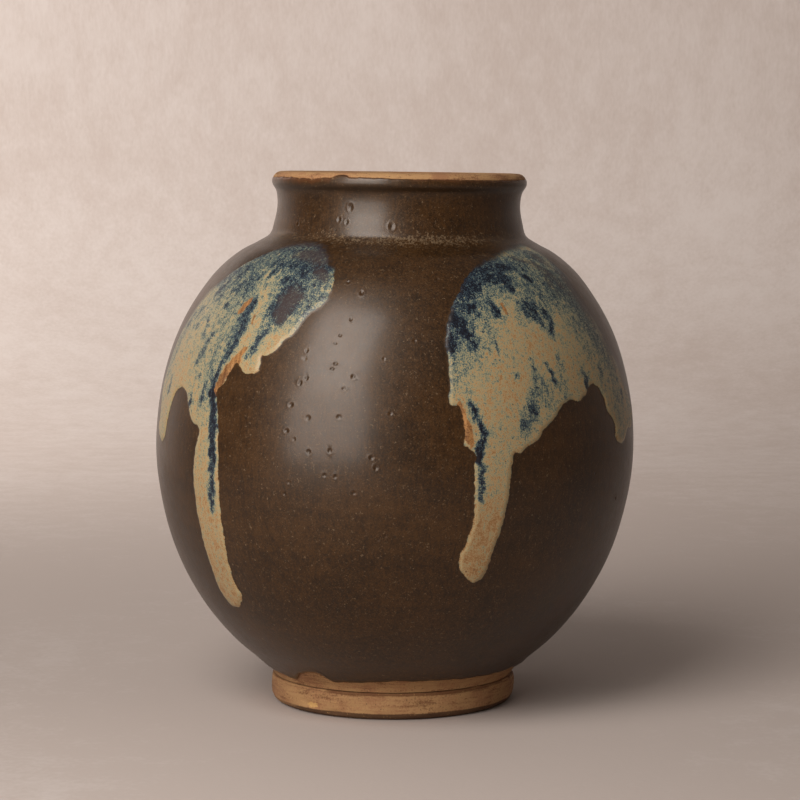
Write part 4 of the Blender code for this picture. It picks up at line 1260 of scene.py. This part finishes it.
def tone_at(points, azimuth, length, splash):
    """How blue the splash is at each place: soft regions first, then the marks on them."""
    weight = numpy.full(len(points), 0.08)
    tone = weight * 0.26
    for *region, value in splash["tones"]:
        pull = nearness(azimuth, length, *region)
        weight = weight + pull
        tone = tone + pull * value
    tone = tone / weight
    for half_width, value, way in splash["marks"]:
        share = 0.9 * ease(-2.1, 1.0, stroke_depth(points, half_width, way))
        tone = tone + (value - tone) * share
    return tone


def haze_at(azimuth, length, regions):
    """How softly the splash melts into the brown at each place, from 0 to 1."""
    haze = sum(nearness(azimuth, length, *region) for region in regions)
    return numpy.clip(haze * 1.3, 0, 1)


def splash_net(outline, cell):
    """A flat net round an outline, and the azimuth and length up the wall of its points."""
    margin = (NET_MARGIN / DRUM_RADIUS, NET_MARGIN)
    low = outline.min(axis=0) - margin
    high = outline.max(axis=0) + margin
    high[1] = min(high[1], wall.length_at(NET_TOP))
    wide, tall = (high - low) * (DRUM_RADIUS, 1.0)
    mesh = bmesh.new()
    bmesh.ops.create_grid(mesh, x_segments=int(wide / cell), y_segments=int(tall / cell), size=0.5)
    points = points_of(mesh)
    azimuth = low[0] + (points[:, 0] + 0.5) * (high[0] - low[0])
    length = low[1] + (points[:, 1] + 0.5) * (high[1] - low[1])
    put_points(mesh, numpy.stack((azimuth * DRUM_RADIUS, length, numpy.zeros_like(length)), axis=-1))
    return mesh, azimuth, length


def colour_splash(mesh, azimuth, length, outline, splash):
    """Keep what the splash's shape and its material need to know at each point of its net."""
    upright = wall.upright(azimuth, length)
    rim = wall.upright(outline[:, 0], outline[:, 1])
    edge = distance_to(upright, numpy.concatenate((rim, rim[:1])))
    edge = numpy.where(inside_outline(azimuth, length, outline), edge, -edge)
    waves = [noise.noise(Vector(p) / 3.1) * 0.8 + noise.noise(Vector(p) / 1.2) * 0.35 for p in upright]
    edge = edge + numpy.array(waves)
    swirl = [noise.noise_vector(Vector(p) / 5.0) * 1.6 + noise.noise_vector(Vector(p) / 2.2) * 1.2
             for p in upright]
    swirled = upright + numpy.array(swirl)
    height = upright[:, 2]
    soft = numpy.maximum(ease(236, 249, height), haze_at(azimuth, length, splash["haze"]))
    tone = tone_at(swirled, azimuth, length, splash)
    tone = tone + 0.30 * soft * ease(6, 0, edge) + 0.34 * ease(0.62, 0.78, tone) * ease(3.2, 0.4, edge)
    rust = deepest(swirled, splash["rust"])
    pale = numpy.exp(-((edge - 1.2) / 0.9) ** 2) * ease(238, 216, height) * ease(0.56, 0.36, tone)
    keep_values(mesh, edge=edge, soft=soft, cover=(edge - 3.0 * soft) / (0.5 + 5.5 * soft),
                rim=pale * ease(0.8, -0.8, rust), tone=tone,
                slate=deepest(swirled, splash["slate"]), rust=rust)


def splash_lift(azimuth, length, edge, soft, thickness, beads):
    """How far a splash stands off the wall: thin at its edge, with a roll round it and beads."""
    build_up = 1 - numpy.exp(-numpy.clip(edge, 0, None) / (0.9 + 4.0 * soft))
    lift = 0.02 + thickness * (1 - 0.8 * soft) * build_up
    lift = lift - 0.07 * ease(-0.2, -2.8, edge)
    roll = numpy.exp(-((edge - 1.9) / 1.3) ** 2) * 0.12 * ease(0.2, 0.9, edge) * (1 - soft)
    for where, height, radius, extra in beads:
        across = (azimuth - radians(where)) * wall.radius_at(length)
        far = numpy.hypot(across, (length - wall.length_at(height)) * 0.6) / radius
        roll = roll + extra * numpy.exp(-far ** 2) * ease(0.0, 2.2, edge)
    return lift + roll


def pour_splash(name, splash, cell, thickness):
    """One poured splash: a net on the wall, cut to its outline, raised inside it and closed."""
    knots = [(radians(turn) * DRUM_RADIUS, float(wall.length_at(height)))
             for turn, height in splash["outline"]]
    outline = numpy.array(closed_line(knots, 5)) / (DRUM_RADIUS, 1.0)
    mesh, azimuth, length = splash_net(outline, cell)
    colour_splash(mesh, azimuth, length, outline, splash)
    edge_kept, soft_kept = mesh.verts.layers.float["edge"], mesh.verts.layers.float["soft"]
    outer = [face for face in mesh.faces if all(vert[edge_kept] < -NET_TRIM for vert in face.verts)]
    bmesh.ops.delete(mesh, geom=outer, context="FACES")
    grown = bmesh.ops.extrude_face_region(mesh, geom=mesh.faces[:])["geom"]
    under = [item for item in grown if isinstance(item, bmesh.types.BMVert)]
    bmesh.ops.translate(mesh, verts=under, vec=(0.0, 0.0, -1.0))

    points = points_of(mesh)
    edge = numpy.array([vert[edge_kept] for vert in mesh.verts])
    soft = numpy.array([vert[soft_kept] for vert in mesh.verts])
    azimuth, length, below = points[:, 0] / DRUM_RADIUS, points[:, 1], points[:, 2] < -0.5
    lift = splash_lift(azimuth, length, edge, soft, thickness, splash["beads"])
    put_points(mesh, wall.place(azimuth, length, numpy.where(below, -SPLASH_SINK, lift)))
    flow = mesh.loops.layers.uv.new("flow")
    mesh.verts.index_update()
    for face in mesh.faces:
        for loop in face.loops:
            loop[flow].uv = points[loop.vert.index, :2]
    finish_piece(name, mesh, splash_glaze(name + "_glaze"), 70)


class JAR_OT_splashes(Operator):
    """Pour the four splashes over the shoulder, each with its drips"""

    bl_idname = "jar.splashes"
    bl_label = "Poured splashes"

    def execute(self, context):
        thickness = context.scene.jar_sizes.splash_thickness
        noise.seed_set(SWIRL_SEED)
        for name, splash in SPLASHES.items():
            pour_splash(name, splash, BACK_CELL if "back" in name else FRONT_CELL, thickness)
        return {"FINISHED"}


def backdrop_paper(stage):
    """Pale painted paper, with a painted shadow under and in front of the jar and a band of painted shade
    behind it.
    """
    finish = Finish("backdrop_paper")
    soft = finish.grain(260.0, detail=3.0)
    cloth = finish.grain(4.0, finish.mapped((1.0, 1.0, 0.35)), detail=3.0, roughness=0.6)
    daub = finish.grain(24.0, finish.mapped((1.0, 1.0, 0.5)), detail=4.0, roughness=0.6)
    depth = finish.node("ShaderNodeSeparateXYZ", {}, {"Vector": finish.place}, 1)
    # A band of painted shade on the floor behind the jar, where its shadow falls and the light falls off
    shade_band = depth.between(-0.12, 0.14) * (1 - depth.between(0.5, 1.4))
    # A painted shadow on the floor round the jar's foot and in front of it
    front = finish.node("ShaderNodeMapping", {},
                        {"Vector": finish.place, "Location": (-0.02, 0.12, 0.0)})
    front = finish.node("ShaderNodeVectorMath", {"operation": "LENGTH"}, {"Vector": front}, "Value")
    tone = (soft * 0.35 + daub * 0.35 + cloth * 0.30).between(0.32, 0.68) - shade_band * 0.6
    tone = tone - front.between(0.34, 0.04) * 0.9
    floor = tuple(stage.floor)
    darker = tuple(value * share for value, share in zip(floor, PAPER_DARK))
    return finish.wear(finish.mix(tone, darker, floor), 0.8, finish.bump(cloth, 0.1), 0.2)


class JAR_OT_stage(Operator):
    """Set up the floor, the backdrop, the soft light and the camera"""

    bl_idname = "jar.stage"
    bl_label = "Stage"

    def execute(self, context):
        stage = context.scene.jar_stage
        self.build_floor(stage)
        for name, lamp in LAMPS.items():
            self.build_light(name + "_light", getattr(stage, name + "_power"), *lamp)
        self.build_world(stage)
        self.build_camera(stage)
        context.scene.view_settings.view_transform = "Standard"
        return {"FINISHED"}

    def build_floor(self, stage):
        corners = [(0, 0), (BOWL_RADIUS, 0), (BOWL_RADIUS, BOWL_HEIGHT)]
        mesh = spin_round(rounded(corners, BOWL_BEND, 24), 96, closed=False)
        bmesh.ops.scale(mesh, vec=(MM, MM, MM), verts=mesh.verts[:])
        bmesh.ops.recalc_face_normals(mesh, faces=mesh.faces[:])
        data = bpy.data.meshes.new("backdrop")
        mesh.to_mesh(data)
        mesh.free()
        data.shade_smooth()
        data.materials.append(backdrop_paper(stage))
        backdrop = bpy.data.objects.new("backdrop", data)
        bpy.context.scene.collection.objects.link(backdrop)

    def build_light(self, name, power, wide, tall, place, target):
        light = bpy.data.lights.new(name, "AREA")
        light.shape = "RECTANGLE"
        light.size = wide
        light.size_y = tall
        light.energy = power
        light.color = LAMP_COLOUR
        lamp = bpy.data.objects.new(name, light)
        lamp.location = place
        lamp.visible_camera = False
        lamp.rotation_euler = (Vector(target) - Vector(place)).to_track_quat("-Z", "Y").to_euler()
        bpy.context.scene.collection.objects.link(lamp)

    def build_world(self, stage):
        world = bpy.data.worlds.new("soft_room")
        world.use_nodes = True
        room = world.node_tree.nodes["Background"]
        room.inputs["Color"].default_value = ROOM_COLOUR
        room.inputs["Strength"].default_value = stage.fill_strength
        bpy.context.scene.world = world

    def build_camera(self, stage):
        camera = bpy.data.cameras.new("camera")
        camera.lens = stage.lens
        camera.sensor_width = SENSOR_WIDTH
        camera.clip_start, camera.clip_end = 0.05, 20.0
        view = bpy.data.objects.new("camera", camera)
        view.location = (stage.camera_side * MM, -stage.camera_distance * MM, stage.camera_height * MM)
        view.rotation_euler = (pi / 2 - stage.camera_tilt, 0.0, 0.0)
        bpy.context.scene.collection.objects.link(view)
        bpy.context.scene.camera = view


class JAR_PT_panel(Panel):
    """Lists the pieces of the jar, its sizes and its colours"""

    bl_idname = "JAR_PT_panel"
    bl_label = "Poured glaze jar"
    bl_space_type = "VIEW_3D"
    bl_region_type = "UI"
    bl_category = "Jar"

    def draw(self, context):
        layout = self.layout
        for step in STEPS:
            layout.operator(step.bl_idname)
        for group in (context.scene.jar_sizes, context.scene.jar_colours, context.scene.jar_stage):
            box = layout.box()
            for name in group.__annotations__:
                box.prop(group, name)


# The operators in the order that they run in, and all that Blender has to know
STEPS = (JAR_OT_clay, JAR_OT_foot_ring, JAR_OT_lower_body, JAR_OT_lip, JAR_OT_outer_glaze,
         JAR_OT_inner_glaze, JAR_OT_splashes, JAR_OT_stage)
CLASSES = (JarSizes, JarColours, JarStage) + STEPS + (JAR_PT_panel,)


def register():
    """Add the classes and the settings to Blender."""
    for one in CLASSES:
        bpy.utils.register_class(one)
    bpy.types.Scene.jar_sizes = PointerProperty(type=JarSizes)
    bpy.types.Scene.jar_colours = PointerProperty(type=JarColours)
    bpy.types.Scene.jar_stage = PointerProperty(type=JarStage)


def unregister():
    """Take them out again."""
    for name in ("jar_sizes", "jar_colours", "jar_stage"):
        delattr(bpy.types.Scene, name)
    for one in reversed(CLASSES):
        bpy.utils.unregister_class(one)


def main():
    """Build the jar and its stage."""
    register()
    bpy.ops.jar.clay()
    bpy.ops.jar.foot_ring()
    bpy.ops.jar.lower_body()
    bpy.ops.jar.lip()
    bpy.ops.jar.outer_glaze()
    bpy.ops.jar.inner_glaze()
    bpy.ops.jar.splashes()
    bpy.ops.jar.stage()


if __name__ == "__main__":
    main()
